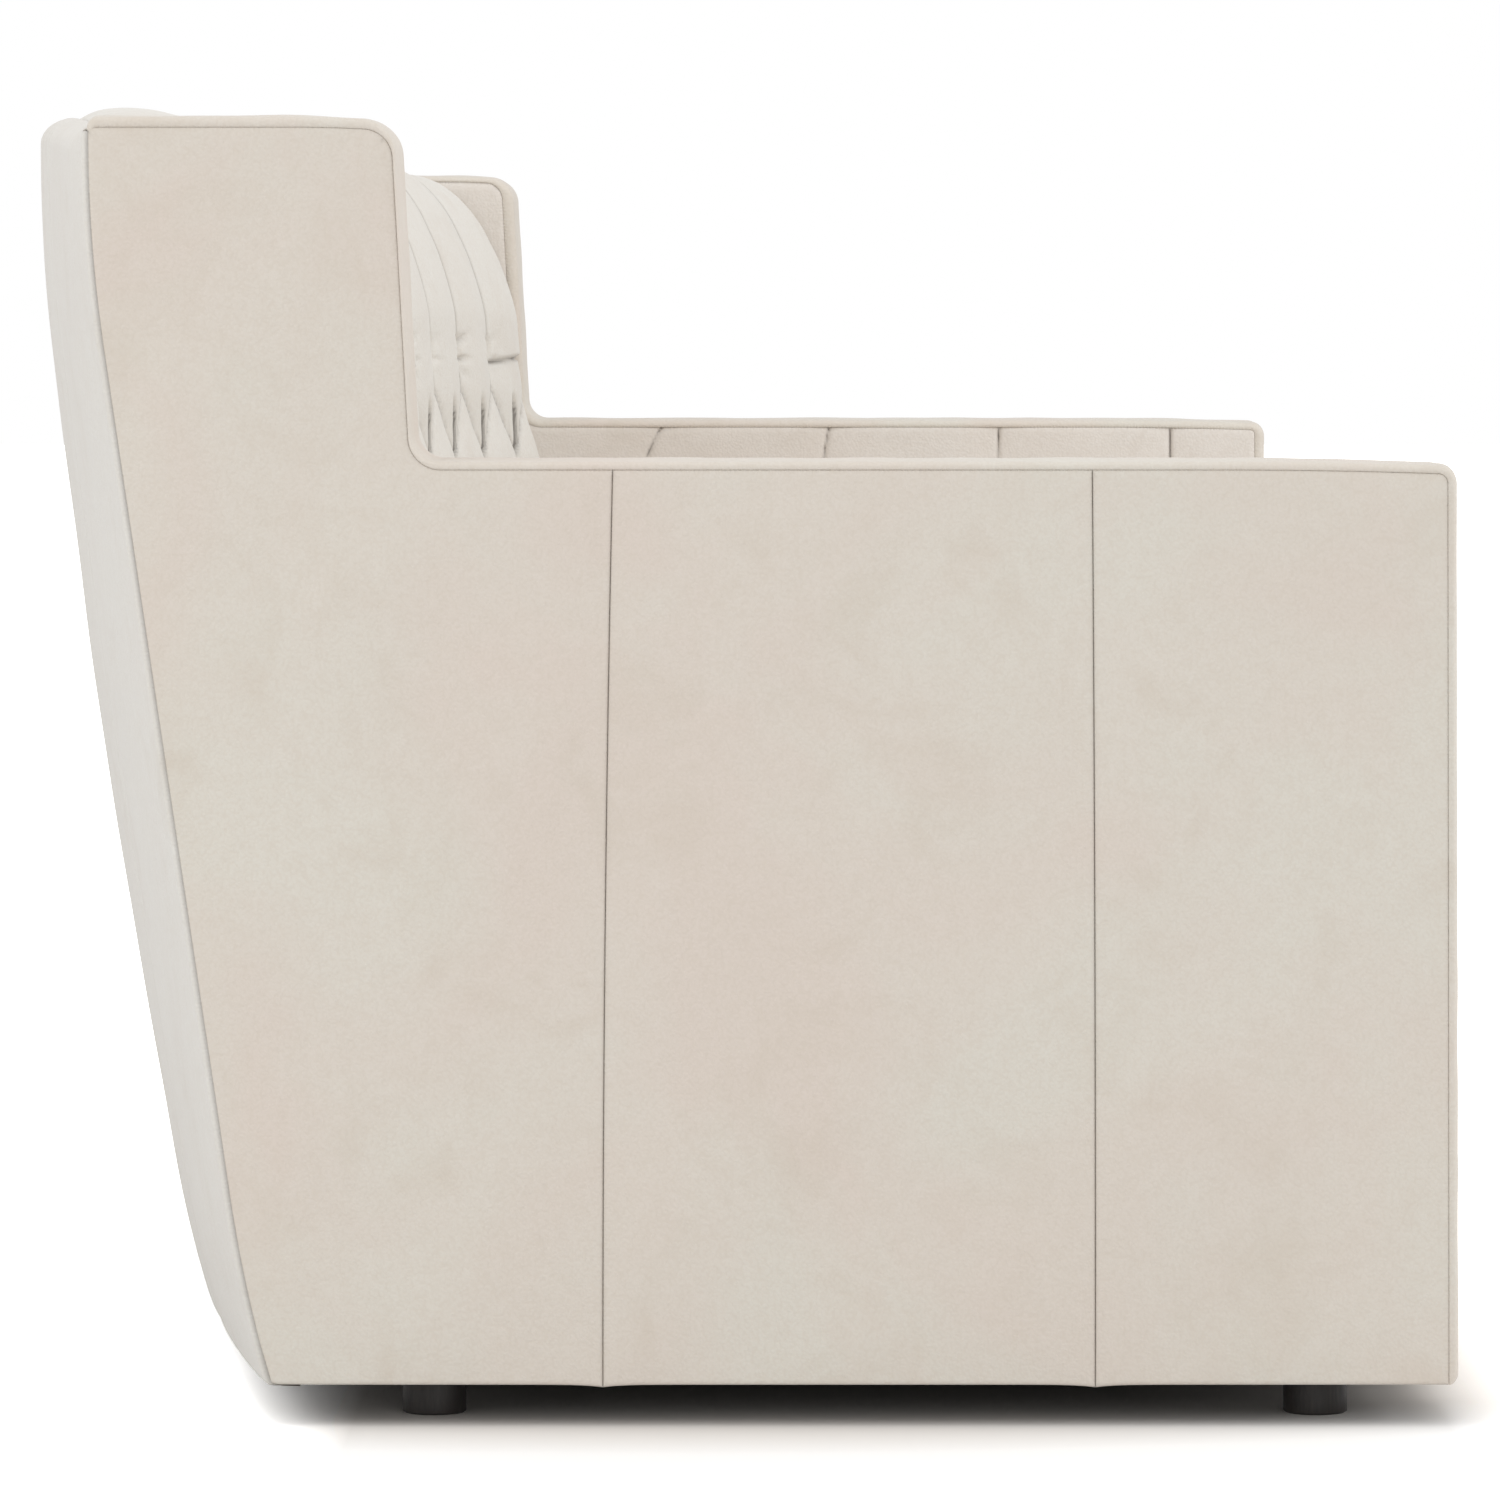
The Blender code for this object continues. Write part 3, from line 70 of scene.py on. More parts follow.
@dataclass(frozen=True)
class SofaSizes:
    """The sizes that the sofa's pieces share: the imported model's, with its edges fitted more closely."""

    gap: float = 0.00005
    width: float = 2.290
    arm_thickness: float = 0.125
    arm_height: float = 0.620
    wing_rise: float = 0.221
    depth: float = 0.9926
    clearance: float = 0.0265
    base_depth: float = 0.7725
    front_lean: float = 0.002
    arm_radius: float = 0.0115
    wing_reach: float = 0.2074
    wing_lean: float = 0.0118
    wing_foot_radius: float = 0.018
    wing_radius: float = 0.022
    wing_rear_radius: float = 0.0075
    back_rake: float = math.radians(8.34)
    heel_tuck: float = 0.0085
    heel_height: float = 0.12
    bend_drop: float = 0.149
    bend_radius: float = 0.94
    bow_ends: float = 0.1045
    bow_belly: float = 0.009
    back_edge_drop: float = 0.008
    back_edge_radius: float = 0.018
    crest_rise: float = 0.024
    crest_lift: float = 0.001
    panel_thickness: float = 0.020
    strip_thickness: float = 0.0065
    strip_radius: float = 0.006
    side_thickness: float = 0.012
    deck_height: float = 0.300
    row_drop: float = 0.156
    back_setback: float = 0.6655
    seat_rake: float = math.radians(11.0)

    @property
    def half(self) -> float:
        """Half the sofa's width."""
        return self.width / 2

    @property
    def inner_half(self) -> float:
        """Half the room between the arms."""
        return self.half - self.arm_thickness

    @property
    def wing_height(self) -> float:
        """The height of the wings' top."""
        return self.arm_height + self.wing_rise

    @property
    def bend_height(self) -> float:
        """The height where the raked back starts to turn upright."""
        return self.wing_height - self.bend_drop

    @property
    def back_edge_height(self) -> float:
        """The height of the outer back's top seam at its ends."""
        return self.wing_height - self.back_edge_drop

    @property
    def crest_height(self) -> float:
        """The height of the tufted crest at its ends."""
        return self.wing_height + self.crest_lift

    @property
    def rake_run(self) -> float:
        """How far the rake carries the rear edge back."""
        return math.tan(self.back_rake) * (self.bend_height - self.clearance)

    @property
    def bend_run(self) -> float:
        """How far the bend carries the rear edge back."""
        return self.bend_radius * (1 - math.cos(self.back_rake))

    @property
    def front(self) -> float:
        """The front face's Y at the floor."""
        return -self.depth / 2

    @property
    def base_rear(self) -> float:
        """The rear edge's Y at the bottom of a side."""
        return self.front + self.base_depth

    @property
    def wing_front(self) -> float:
        """The wing's front edge where it meets the arm."""
        return self.base_rear + self.rake_run + self.bend_run - self.wing_reach

    def rear_y(self, height: Array) -> Array:
        """The rear edge of a side: a straight rake, then an arc that turns it upright.

        Below the heel's height it also tucks in, by the square of the way down.

        Args:
            height: Heights above the floor.

        Returns:
            The edge's Y at each height.
        """
        height = np.asarray(height, float)
        raked = self.base_rear + math.tan(self.back_rake) * (height - self.clearance)
        lean = np.arcsin(np.clip(math.sin(self.back_rake) - (height - self.bend_height) / self.bend_radius, 0, 1))
        bent = self.base_rear + self.rake_run + self.bend_radius * (np.cos(lean) - math.cos(self.back_rake))
        down = np.clip(1 - (height - self.clearance) / self.heel_height, 0, 1)
        return np.where(height <= self.bend_height, raked, bent) - self.heel_tuck * down**2

    def bow(self, x: Array, height: Array) -> Array:
        """How far the back stands behind its two ends, on a circle through them.

        Args:
            x: Places along the width.
            height: Heights above the floor, which set how deep the circle sags.

        Returns:
            The distance behind the ends.
        """
        share = np.clip((height - self.clearance) / (self.wing_height - self.clearance), 0, 1)
        sag = self.bow_ends + self.bow_belly * np.sin(math.pi * share) ** 2
        radius = (self.half**2 + sag**2) / (2 * sag)
        return np.sqrt(radius**2 - np.asarray(x, float) ** 2) - (radius - sag)

    def outer_y(self, x: Array, height: Array) -> Array:
        """The seam surface of the outer back."""
        return self.rear_y(height) + self.bow(x, height)

    def lining_y(self, x: Array, height: Array) -> Array:
        """The inner face of the outer back's panels."""
        return self.outer_y(x, height) - self.panel_thickness

    @property
    def row_height(self) -> float:
        """The height of the first row of buttons."""
        return self.wing_height - self.row_drop

    @property
    def back_front(self) -> float:
        """The tufted back's front face at the first row, at its ends."""
        return self.front + self.back_setback

    def inner_rise(self, x: Array) -> Array:
        """How much the crest stands above its height at the wings."""
        return self.crest_rise * (1 - np.clip(np.abs(x) / self.inner_half, 0, 1) ** 4)

    def outer_rise(self, x: Array) -> Array:
        """How much the outer back's top seam stands above its height at the corners."""
        return self.crest_rise * (1 - np.clip(np.abs(x) / self.half, 0, 1) ** 3)

    def profile_corners(self) -> list[Triple]:
        """Corners (y, z, radius) of a side's front and top outline, up to the wing's rear."""
        return [
            (self.front, self.clearance, 0),
            (self.front + self.front_lean, self.arm_height, self.arm_radius),
            (self.wing_front, self.arm_height, self.wing_foot_radius),
            (self.wing_front + self.wing_lean, self.wing_height, self.wing_radius),
            (float(self.rear_y(self.wing_height)), self.wing_height, 0),
        ]


SIZES = SofaSizes()


def inset_corners(corners: Sequence[Triple], insets: Sequence[float]) -> list[Triple]:
    """Move each edge of an open outline inwards, to the right of its direction.

    A corner goes to where its two moved edges cross.

    Args:
        corners: Corners (y, z, radius) in order.
        insets: How far each edge moves.

    Returns:
        The moved corners, with radii that keep the arcs about concentric.
    """
    ways = []
    for start, end, inset in zip(corners, corners[1:], insets):
        length = math.dist(start[:2], end[:2])
        ways.append(((end[0] - start[0]) / length, (end[1] - start[1]) / length, inset))
    moved = []
    for i, (y, z, radius) in enumerate(corners):
        before, after = ways[max(i - 1, 0)], ways[min(i, len(ways) - 1)]
        turn = before[0] * after[1] - before[1] * after[0]
        if before is after:
            moved.append((y + before[2] * before[1], z - before[2] * before[0], radius))
            continue
        shift_y = (after[2] * before[0] - before[2] * after[0]) / turn
        shift_z = (after[2] * before[1] - before[2] * after[1]) / turn
        mean = math.copysign((before[2] + after[2]) / 2, turn)
        moved.append((y + shift_y, z + shift_z, max(radius + mean, 0.0005) if radius else radius))
    return moved


def corner_arcs(corners: Sequence[Triple], count: int) -> list[Array]:
    """The arc of each corner: points at even angles on a circle that touches both edges.

    Args:
        corners: Corners (y, z, radius). The first and the last have no radius.
        count: Steps of each arc.

    Returns:
        One array of (y, z) points for each corner.
    """
    arcs = []
    for i, (y, z, radius) in enumerate(corners):
        if radius <= 0:
            arcs.append(np.array([[y, z]]))
            continue
        before, after = corners[i - 1], corners[i + 1]
        to_before = math.atan2(before[1] - z, before[0] - y)
        turn = math.remainder(math.atan2(after[1] - z, after[0] - y) - to_before, 2 * math.pi)
        middle = to_before + turn / 2
        away = radius / math.sin(abs(turn) / 2)
        sweep = (math.pi - abs(turn)) * math.copysign(1, turn)
        angles = middle + math.pi + sweep * (0.5 - np.arange(count + 1) / count)
        centre = np.array([y + away * math.cos(middle), z + away * math.sin(middle)])
        arcs.append(centre + radius * np.stack([np.cos(angles), np.sin(angles)], 1))
    return arcs


def trace(arcs: Sequence[Array], counts: Sequence[int]) -> Array:
    """Join arcs by straight runs of so many steps each.

    Args:
        arcs: The points of each corner.
        counts: Steps of the straight run after each corner but the last.

    Returns:
        The (y, z) points in order.
    """
    parts = [arcs[0]]
    for before, after, count in zip(arcs, arcs[1:], counts):
        parts += [np.linspace(before[-1], after[0], count + 1)[1:-1], after]
    return np.concatenate(parts)


def travelled(line: Array) -> Array:
    """The length along a polyline up to each of its points."""
    return np.concatenate([[0], np.cumsum(np.linalg.norm(np.diff(line, axis=0), axis=1))])


def length_shares(line: Array) -> Array:
    """The share of a polyline's length up to each of its points."""
    steps = np.linalg.norm(np.diff(line, axis=0), axis=1)
    return np.concatenate([[0], np.cumsum(steps)]) / steps.sum()


def resample(line: Array, shares: Array) -> Array:
    """Points of a polyline at shares of its length, by linear interpolation.

    Args:
        line: Points in order.
        shares: Shares of the whole length, from 0 to 1.

    Returns:
        One point for each share.
    """
    return np.stack([np.interp(shares, length_shares(line), column) for column in line.T], 1)


def seam_shares(length: float, count: int) -> Array:
    """Shares of a length that crowd at both ends, where a seam rolls in.

    Args:
        length: The length between the two seams.
        count: Cells between the two crowded ends.

    Returns:
        Rising shares from 0 to 1.
    """
    lead = np.array([0, 0.0003, 0.0007, 0.0012, 0.0018, 0.0026, 0.004, 0.006, 0.009, 0.013]) / length
    middle = np.linspace(lead[-1], 1 - lead[-1], count + 1)
    return np.concatenate([lead[:-1], middle, 1 - lead[:-1][::-1]])


def coons(near: Array, far: Array, first: Array, last: Array, across: Array, along: Array) -> Array:
    """A patch between four edges: both ruled surfaces added, less the bilinear one.

    Args:
        near: The edge at across 0, one point for each share of along.
        far: The edge at across 1.
        first: The edge at along 0, one point for each share of across.
        last: The edge at along 1.
        across: Shares from the near edge to the far one.
        along: Shares from the first edge to the last one.

    Returns:
        Points in an array of along by across.
    """
    t, s = across[None, :, None], along[:, None, None]
    ruled = (1 - t) * near[:, None] + t * far[:, None] + (1 - s) * first[None] + s * last[None]
    flat = (1 - s) * ((1 - t) * near[0] + t * far[0]) + s * ((1 - t) * near[-1] + t * far[-1])
    return ruled - flat


def ripple(u: Array, v: Array, length: float, seed: int) -> Array:
    """Soft unevenness: seven sine waves in fixed random directions, added.

    Args:
        u: First coordinate, in metres.
        v: Second coordinate, in metres.
        length: The usual length of a wave.
        seed: Sets the directions, so that each run is alike.

    Returns:
        Heights between about -1 and 1.
    """
    draw = np.random.default_rng(seed)
    total = np.zeros(np.broadcast(u, v).shape)
    for angle, stretch, phase in draw.random((7, 3)):
        turn = 2 * math.pi / (length * (0.6 + stretch))
        way = math.pi * angle * 2
        total += np.sin(turn * (u * math.cos(way) + v * math.sin(way)) + 2 * math.pi * phase)
    return total / 3.5


def line_distance(points: Array, line: Array) -> tuple[Array, Array]:
    """The distance from points to a polyline, and how far along it the nearest place is.

    Each point is dropped square onto each step of the line, and the nearest foot is kept.

    Args:
        points: Points (y, z) in an array of any shape.
        line: The polyline's points in order.

    Returns:
        Distances, and lengths along the line, in the points' shape.
    """
    flat = points.reshape(-1, 2)
    ways = np.diff(line, axis=0)
    lengths = np.linalg.norm(ways, axis=1)
    keep = lengths > 1e-9
    starts, ways, lengths = line[:-1][keep], ways[keep], lengths[keep]
    before = np.concatenate([[0], np.cumsum(lengths)[:-1]])
    distance, along = np.empty(len(flat)), np.empty(len(flat))
    for part in np.array_split(np.arange(len(flat)), max(len(flat) // 4000, 1)):
        offset = flat[part, None] - starts[None]
        share = np.clip((offset * ways).sum(2) / lengths**2, 0, 1)
        gaps = np.linalg.norm(offset - share[..., None] * ways, axis=2)
        best = gaps.argmin(1)
        rows = np.arange(len(part))
        distance[part] = gaps[rows, best]
        along[part] = before[best] + share[rows, best] * lengths[best]
    return distance.reshape(points.shape[:-1]), along.reshape(points.shape[:-1])


@dataclass(frozen=True)
class Seam:
    """How a cover's edge rolls in at a seam, and whether a line of painted shade is drawn along it."""

    radius: float
    depth: float
    dark: bool
    ridge: float = 0.0004

    def roll(self, distance: Array) -> Array:
        """Depths under the cover's face: a quarter ellipse, less a low ridge beside it."""
        near = 1 - np.clip(distance / self.radius, 0, 1)
        raised = self.ridge * np.exp(-(((distance - 2.2 * self.radius) / self.radius) ** 2))
        return self.depth * (1 - np.sqrt(1 - near**2)) - raised


# A JOIN seam gets a line of painted shade along its groove; WELT and HEM seams do not.
WELT = Seam(0.0060, 0.0015, False, 0.0003)
JOIN = Seam(0.0016, 0.0016, True)
HEM = Seam(0.0028, 0.0022, False, 0.0)


def press(places: Array, edges: Sequence[tuple[Array, Seam]]) -> tuple[Array, Array, Array]:
    """Press the seams of a flat cover into its face.

    Args:
        places: Points (y, z) of the cover.
        edges: The cover's edges and their seams.

    Returns:
        Depths, the distance from the nearest edge, and the seam coordinates: length along and
        distance from the nearest stitched edge, distance from the nearest edge with painted shade, and 0.
    """
    found = [(line_distance(places, line), seam) for line, seam in edges]
    depth = np.max([seam.roll(distance) for (distance, _), seam in found], axis=0)
    nearest = np.min([distance for (distance, _), _ in found], axis=0)
    gaps = np.stack([distance + (0.0 if seam is WELT else 0.0015) for (distance, _), seam in found])
    along = np.take_along_axis(np.stack([line for (_, line), _ in found]), gaps.argmin(0)[None], 0)[0]
    # Distance from the nearest seam that gets a line of painted shade.
    dark = np.min([distance if seam.dark else np.full_like(distance, FAR) for (distance, _), seam in found], axis=0)
    return depth, nearest, np.stack([along, gaps.min(0), dark, np.zeros_like(dark)], -1)


def round_off(points: Array, y: float, z: float, radius_y: float, radius_z: float) -> Array:
    """Round the square corner of a cover: its corner cell is mapped onto a quarter ellipse.

    Args:
        points: Points of the cover.
        y: The corner's Y.
        z: The corner's height.
        radius_y: The rounding's reach along Y, below zero towards -Y.
        radius_z: The rounding's reach upwards.

    Returns:
        The rounded points.
    """
    offset_y = 1 - (points[..., 1] - y) / radius_y
    offset_z = 1 - (points[..., 2] - z) / radius_z
    inside = (offset_y > 0) & (offset_z > 0)
    length = np.hypot(offset_y, offset_z)
    share = np.where(inside, np.maximum(offset_y, offset_z) / np.maximum(length, 1e-9), 1)
    rounded = points.copy()
    rounded[..., 1] = y + radius_y * (1 - offset_y * share)
    rounded[..., 2] = z + radius_z * (1 - offset_z * share)
    return rounded


def settle(points: Array) -> Array:
    """Let the padding sag towards the free corners of an arm and a wing.

    Each sag is the square of the share of the way to the corner, faded in with height.

    Args:
        points: Points of a cover.

    Returns:
        The lowered points.
    """
    y, z = points[..., 1], points[..., 2]
    arm = np.clip((SIZES.front + 0.15 - y) / 0.15, 0, 1) ** 2 * np.clip((z - 0.50) / 0.12, 0, 1)
    wing = np.clip((SIZES.wing_front + 0.075 - y) / 0.075, 0, 1) ** 2 * np.clip((z - 0.76) / 0.08, 0, 1)
    lowered = points.copy()
    lowered[..., 2] = z - 0.0030 * arm - 0.0034 * wing
    return lowered


def grid_quads(rows: int, columns: int) -> Array:
    """Quads of a grid of rows by columns points, stored row by row."""
    start = (np.arange(rows - 1)[:, None] * columns + np.arange(columns - 1)[None]).reshape(-1, 1)
    return start + np.array([0, 1, columns + 1, columns])


def grid_rim(rows: int, columns: int) -> Array:
    """The indices of a grid's rim in order, each once."""
    index = np.arange(rows * columns).reshape(rows, columns)
    return np.concatenate([index[0, :-1], index[:-1, -1], index[-1, :0:-1], index[:0:-1, 0]])


@dataclass
class Surface:
    """The points and faces of a mesh on the way to becoming a piece."""

    points: Array
    quads: Array
    caps: list[Array] = field(default_factory=list)
    seam: Optional[Array] = None

    def outwards(self) -> "Surface":
        """Turn every face over if the closed mesh's signed volume is below zero."""
        corners = self.points[self.quads]
        first = np.einsum("ij,ij->i", corners[:, 0], np.cross(corners[:, 1], corners[:, 2])).sum()
        second = np.einsum("ij,ij->i", corners[:, 0], np.cross(corners[:, 2], corners[:, 3])).sum()
        if first + second < 0:
            self.quads = self.quads[:, ::-1]
            self.caps = [cap[::-1] for cap in self.caps]
        return self

    def mirrored(self, side: Side) -> "Surface":
        """The surface at that end of the sofa, with its faces outwards."""
        self.points = self.points * np.array([side.value, 1, 1])
        return self.outwards()

    def build(self, name: str, material: bpy.types.Material, sharp: float = 50) -> bpy.types.Object:
        """Put the arrays into a mesh object.

        Args:
            name: The piece's name.
            material: The piece's finish.
            sharp: Edges that turn more than so many degrees stay sharp.

        Returns:
            The new object, at the origin.
        """
        sizes = [4] * len(self.quads) + [len(cap) for cap in self.caps]
        loops = np.concatenate([self.quads.reshape(-1), *self.caps]).astype(np.int32)
        mesh = bpy.data.meshes.new(name)
        mesh.vertices.add(len(self.points))
        mesh.vertices.foreach_set("co", self.points.astype(np.float32).reshape(-1))
        mesh.loops.add(len(loops))
        mesh.loops.foreach_set("vertex_index", loops)
        mesh.polygons.add(len(sizes))
        starts = np.concatenate([[0], np.cumsum(sizes)[:-1]]).astype(np.int32)
        mesh.polygons.foreach_set("loop_start", starts)
        mesh.update(calc_edges=True)
        if self.seam is not None:
            for layer_name, part in (("seam", self.seam[:, :2]), ("crease", self.seam[:, 2:])):
                layer = mesh.uv_layers.new(name=layer_name)
                layer.data.foreach_set("uv", part[loops].astype(np.float32).reshape(-1))
        mesh.validate()
        mesh.materials.append(material)
        mesh.shade_smooth()
        mesh.set_sharp_from_angle(angle=math.radians(sharp))
        piece = bpy.data.objects.new(name, mesh)
        bpy.context.scene.collection.objects.link(piece)
        return piece


def coordinates(along: Array, distance: Array, dark: Array) -> Array:
    """Seam coordinates: length along and distance from a stitched edge, distance from a line of painted shade, 0."""
    parts = np.broadcast_arrays(along, distance, dark, np.zeros(1))
    return np.stack(parts, -1)


def slab(front: Array, back: Array, seam: Array) -> Surface:
    """Close a grid with a second grid behind it and quads round their rims.

    Args:
        front: Points of the shown face, rows by columns by 3.
        back: Points of the hidden face, in the same shape.
        seam: The seam coordinates of the shown face, rows by columns by 4.

    Returns:
        The closed surface.
    """
    rows, columns = front.shape[:2]
    count = rows * columns
    cells, rim = grid_quads(rows, columns), grid_rim(rows, columns)
    following = np.roll(rim, -1)
    sides = np.stack([rim, rim + count, following + count, following], 1)
    points = np.concatenate([front.reshape(-1, 3), back.reshape(-1, 3)])
    both = np.tile(seam.reshape(-1, 4), (2, 1))
    return Surface(points, np.concatenate([cells, cells[:, ::-1] + count, sides]), seam=both)


class Nodes:
    """A short way to lay out the nodes of one material."""

    def __init__(self, name: str) -> None:
        """Start a material with its Principled shader.

        Args:
            name: The material's name.
        """
        self.material = bpy.data.materials.new(name)
        self.material.use_nodes = True
        self.tree = self.material.node_tree
        self.shader = self.tree.nodes["Principled BSDF"]
        self.place = self.add("ShaderNodeTexCoord").outputs["Object"]

    def add(self, kind: str, inputs: Optional[dict] = None, **settings: object) -> bpy.types.Node:
        """Add a node.

        Args:
            kind: The node's type.
            inputs: Values or sockets by the input's name or number.
            **settings: Attributes of the node.

        Returns:
            The new node.
        """
        node = self.tree.nodes.new(kind)
        for key, value in settings.items():
            setattr(node, key, value)
        for key, value in (inputs or {}).items():
            self.join(value, node.inputs[key])
        return node

    def join(self, value: object, socket: bpy.types.NodeSocket) -> None:
        """Link a socket, or set the input's own value."""
        if isinstance(value, bpy.types.NodeSocket):
            self.tree.links.new(value, socket)
        else:
            socket.default_value = value

    def math(self, operation: str, first: object, second: object = 0.0) -> bpy.types.NodeSocket:
        """A Math node's result."""
        return self.add("ShaderNodeMath", {0: first, 1: second}, operation=operation).outputs[0]

    def noise(self, scale: float, detail: float = 3.0, roughness: float = 0.5, distortion: float = 0.0,
              place: Optional[bpy.types.NodeSocket] = None) -> bpy.types.NodeSocket:
        """A Noise Texture's factor on object coordinates, or on another place."""
        inputs = {"Vector": place or self.place, "Scale": scale, "Detail": detail, "Roughness": roughness,
                  "Distortion": distortion}
        return self.add("ShaderNodeTexNoise", inputs).outputs["Fac"]

    def spread(self, value: bpy.types.NodeSocket, low: float, high: float, to_low: float = 0.0,
               to_high: float = 1.0) -> bpy.types.NodeSocket:
        """A value's range from low to high, stretched to another range and clamped."""
        inputs = {"Value": value, "From Min": low, "From Max": high, "To Min": to_low, "To Max": to_high}
        return self.add("ShaderNodeMapRange", inputs).outputs["Result"]

    def mix(self, share: object, first: object, second: object) -> bpy.types.NodeSocket:
        """A mix of two colours."""
        node = self.add("ShaderNodeMix", data_type="RGBA")
        for value, number in ((share, 0), (first, 6), (second, 7)):
            self.join(value, node.inputs[number])
        return node.outputs[2]

    def bump(self, height: bpy.types.NodeSocket, strength: float, distance: float,
             normal: Optional[bpy.types.NodeSocket] = None) -> bpy.types.NodeSocket:
        """A Bump node's normal, on top of another one."""
        inputs = {"Height": height, "Strength": strength, "Distance": distance}
        if normal is not None:
            inputs["Normal"] = normal
        return self.add("ShaderNodeBump", inputs).outputs["Normal"]

    def finish(self, **inputs: object) -> bpy.types.Material:
        """Fill the shader's inputs, named with underscores, and return the material."""
        for key, value in inputs.items():
            self.join(value, self.shader.inputs[key.replace("_", " ")])
        return self.material


def colour(red: float, green: float, blue: float) -> Colour:
    """A colour written as 0 to 255 display values, as the linear value that shaders take."""
    shares = [value / 255 for value in (red, green, blue)]
    linear = [share / 12.92 if share <= 0.04045 else ((share + 0.055) / 1.055) ** 2.4 for share in shares]
    return (*linear, 1.0)


@dataclass(frozen=True)
class Leather:
    """Soft, finely pebbled leather with cloudy colour, stitched seams, and painted shade along its seams and
    creases.
    """

    name: str
    cool: Colour
    warm: Colour
    smudge_and_shade: Colour
    grain_length: float = 0.0021
    cloud_length: float = 0.21
    stitch_length: float = 0.0029
    painted_shade_strength: float = 0.34

    def build(self) -> bpy.types.Material:
        """Make the material: clouds, smudges, pebble grain, creases, stitch ticks, and painted shade along seams,
        creases and slits.
        """
        nodes = Nodes(self.name)
        clouds = nodes.spread(nodes.noise(1 / self.cloud_length, 3.0, 0.55, 0.5), 0.36, 0.64)
        base = nodes.mix(clouds, self.cool, self.warm)
        smudges = nodes.spread(nodes.noise(2.6 / self.cloud_length, 4.0, 0.6, 0.9), 0.54, 0.78, 0.0, 0.5)
        base = nodes.mix(smudges, base, self.smudge_and_shade)
        mottle = nodes.spread(nodes.noise(90.0, 4.0, 0.65), 0.3, 0.7, 0.0, 0.22)
        base = nodes.mix(mottle, base, self.smudge_and_shade)
        pebbles = nodes.add("ShaderNodeTexVoronoi", {"Vector": nodes.place, "Scale": 1 / self.grain_length,
                                                     "Randomness": 0.9}, feature="SMOOTH_F1")
        pebble = nodes.spread(pebbles.outputs["Distance"], 0.1, 0.65, 1.0, 0.0)
        pores = nodes.noise(2.2 / self.grain_length, 2.0, 0.6)
        grain = nodes.math("ADD", pebble, nodes.math("MULTIPLY", pores, 0.5))
        base = nodes.mix(nodes.spread(pebble, 0.0, 0.6, 0.26, 0.0), base, self.smudge_and_shade)
        edge = nodes.add("ShaderNodeUVMap", uv_map="seam").outputs["UV"]
        stitched = nodes.add("ShaderNodeSeparateXYZ", {"Vector": edge}).outputs
        join = nodes.add("ShaderNodeUVMap", uv_map="crease").outputs["UV"]
        painted_shade_uv = nodes.add("ShaderNodeSeparateXYZ", {"Vector": join}).outputs
        # Painted shade: the third colour darkened, mixed in near the lines of the crease map, which are seam
        # grooves, creases, slits and pits.
        shadow = tuple(part * 0.20 for part in self.smudge_and_shade[:3]) + (1.0,)
        dark = nodes.math("EXPONENT", nodes.math("MULTIPLY", painted_shade_uv["X"], -1 / 0.0007))
        base = nodes.mix(nodes.math("MULTIPLY", dark, self.painted_shade_strength), base, shadow)
        # Faint painted shade beside every stitched seam.
        soft = nodes.math("EXPONENT", nodes.math("MULTIPLY", stitched["Y"], -1 / 0.0012))
        base = nodes.mix(nodes.math("MULTIPLY", soft, 0.05), base, shadow)
        wave = nodes.math("SINE", nodes.math("MULTIPLY", stitched["X"], 2 * math.pi / self.stitch_length))
        fade = nodes.math("EXPONENT", nodes.math("MULTIPLY", stitched["Y"], -1 / 0.0020))
        tick = nodes.math("MULTIPLY", wave, fade)
        creases = nodes.noise(95.0, 4.0, 0.62, 0.6)
        normal = nodes.bump(creases, 0.30, 0.0007)
        normal = nodes.bump(grain, 0.6, 0.00028, normal)
        normal = nodes.bump(tick, 0.45, 0.00025, normal)
        roughness = nodes.spread(nodes.noise(9.0, 3.0), 0.3, 0.7, 0.52, 0.64)
        return nodes.finish(Base_Color=base, Roughness=roughness, Specular_IOR_Level=0.35, Sheen_Weight=0.12,
                            Sheen_Roughness=0.5, Normal=normal)


@dataclass(frozen=True)
class Timber:
    """Sawn or stained wood with grain along one axis."""

    name: str
    light: Colour
    dark: Colour
    stretch: Triple = (2.0, 26.0, 26.0)
    roughness: float = 0.62

    def build(self) -> bpy.types.Material:
        """Make the material: rings stretched along the board, pores and saw marks."""
        nodes = Nodes(self.name)
        place = nodes.add("ShaderNodeMapping", {"Vector": nodes.place, "Scale": self.stretch}).outputs["Vector"]
        rings = nodes.noise(3.0, 6.0, 0.6, 1.4, place)
        pores = nodes.noise(34.0, 3.0, 0.7, 0.0, place)
        base = nodes.mix(nodes.spread(rings, 0.3, 0.7), self.light, self.dark)
        base = nodes.mix(nodes.spread(pores, 0.5, 0.75, 0.0, 0.4), base, self.dark)
        normal = nodes.bump(pores, 0.3, 0.0004)
        roughness = nodes.spread(rings, 0.3, 0.7, self.roughness - 0.08, self.roughness + 0.08)
        return nodes.finish(Base_Color=base, Roughness=roughness, Normal=normal)


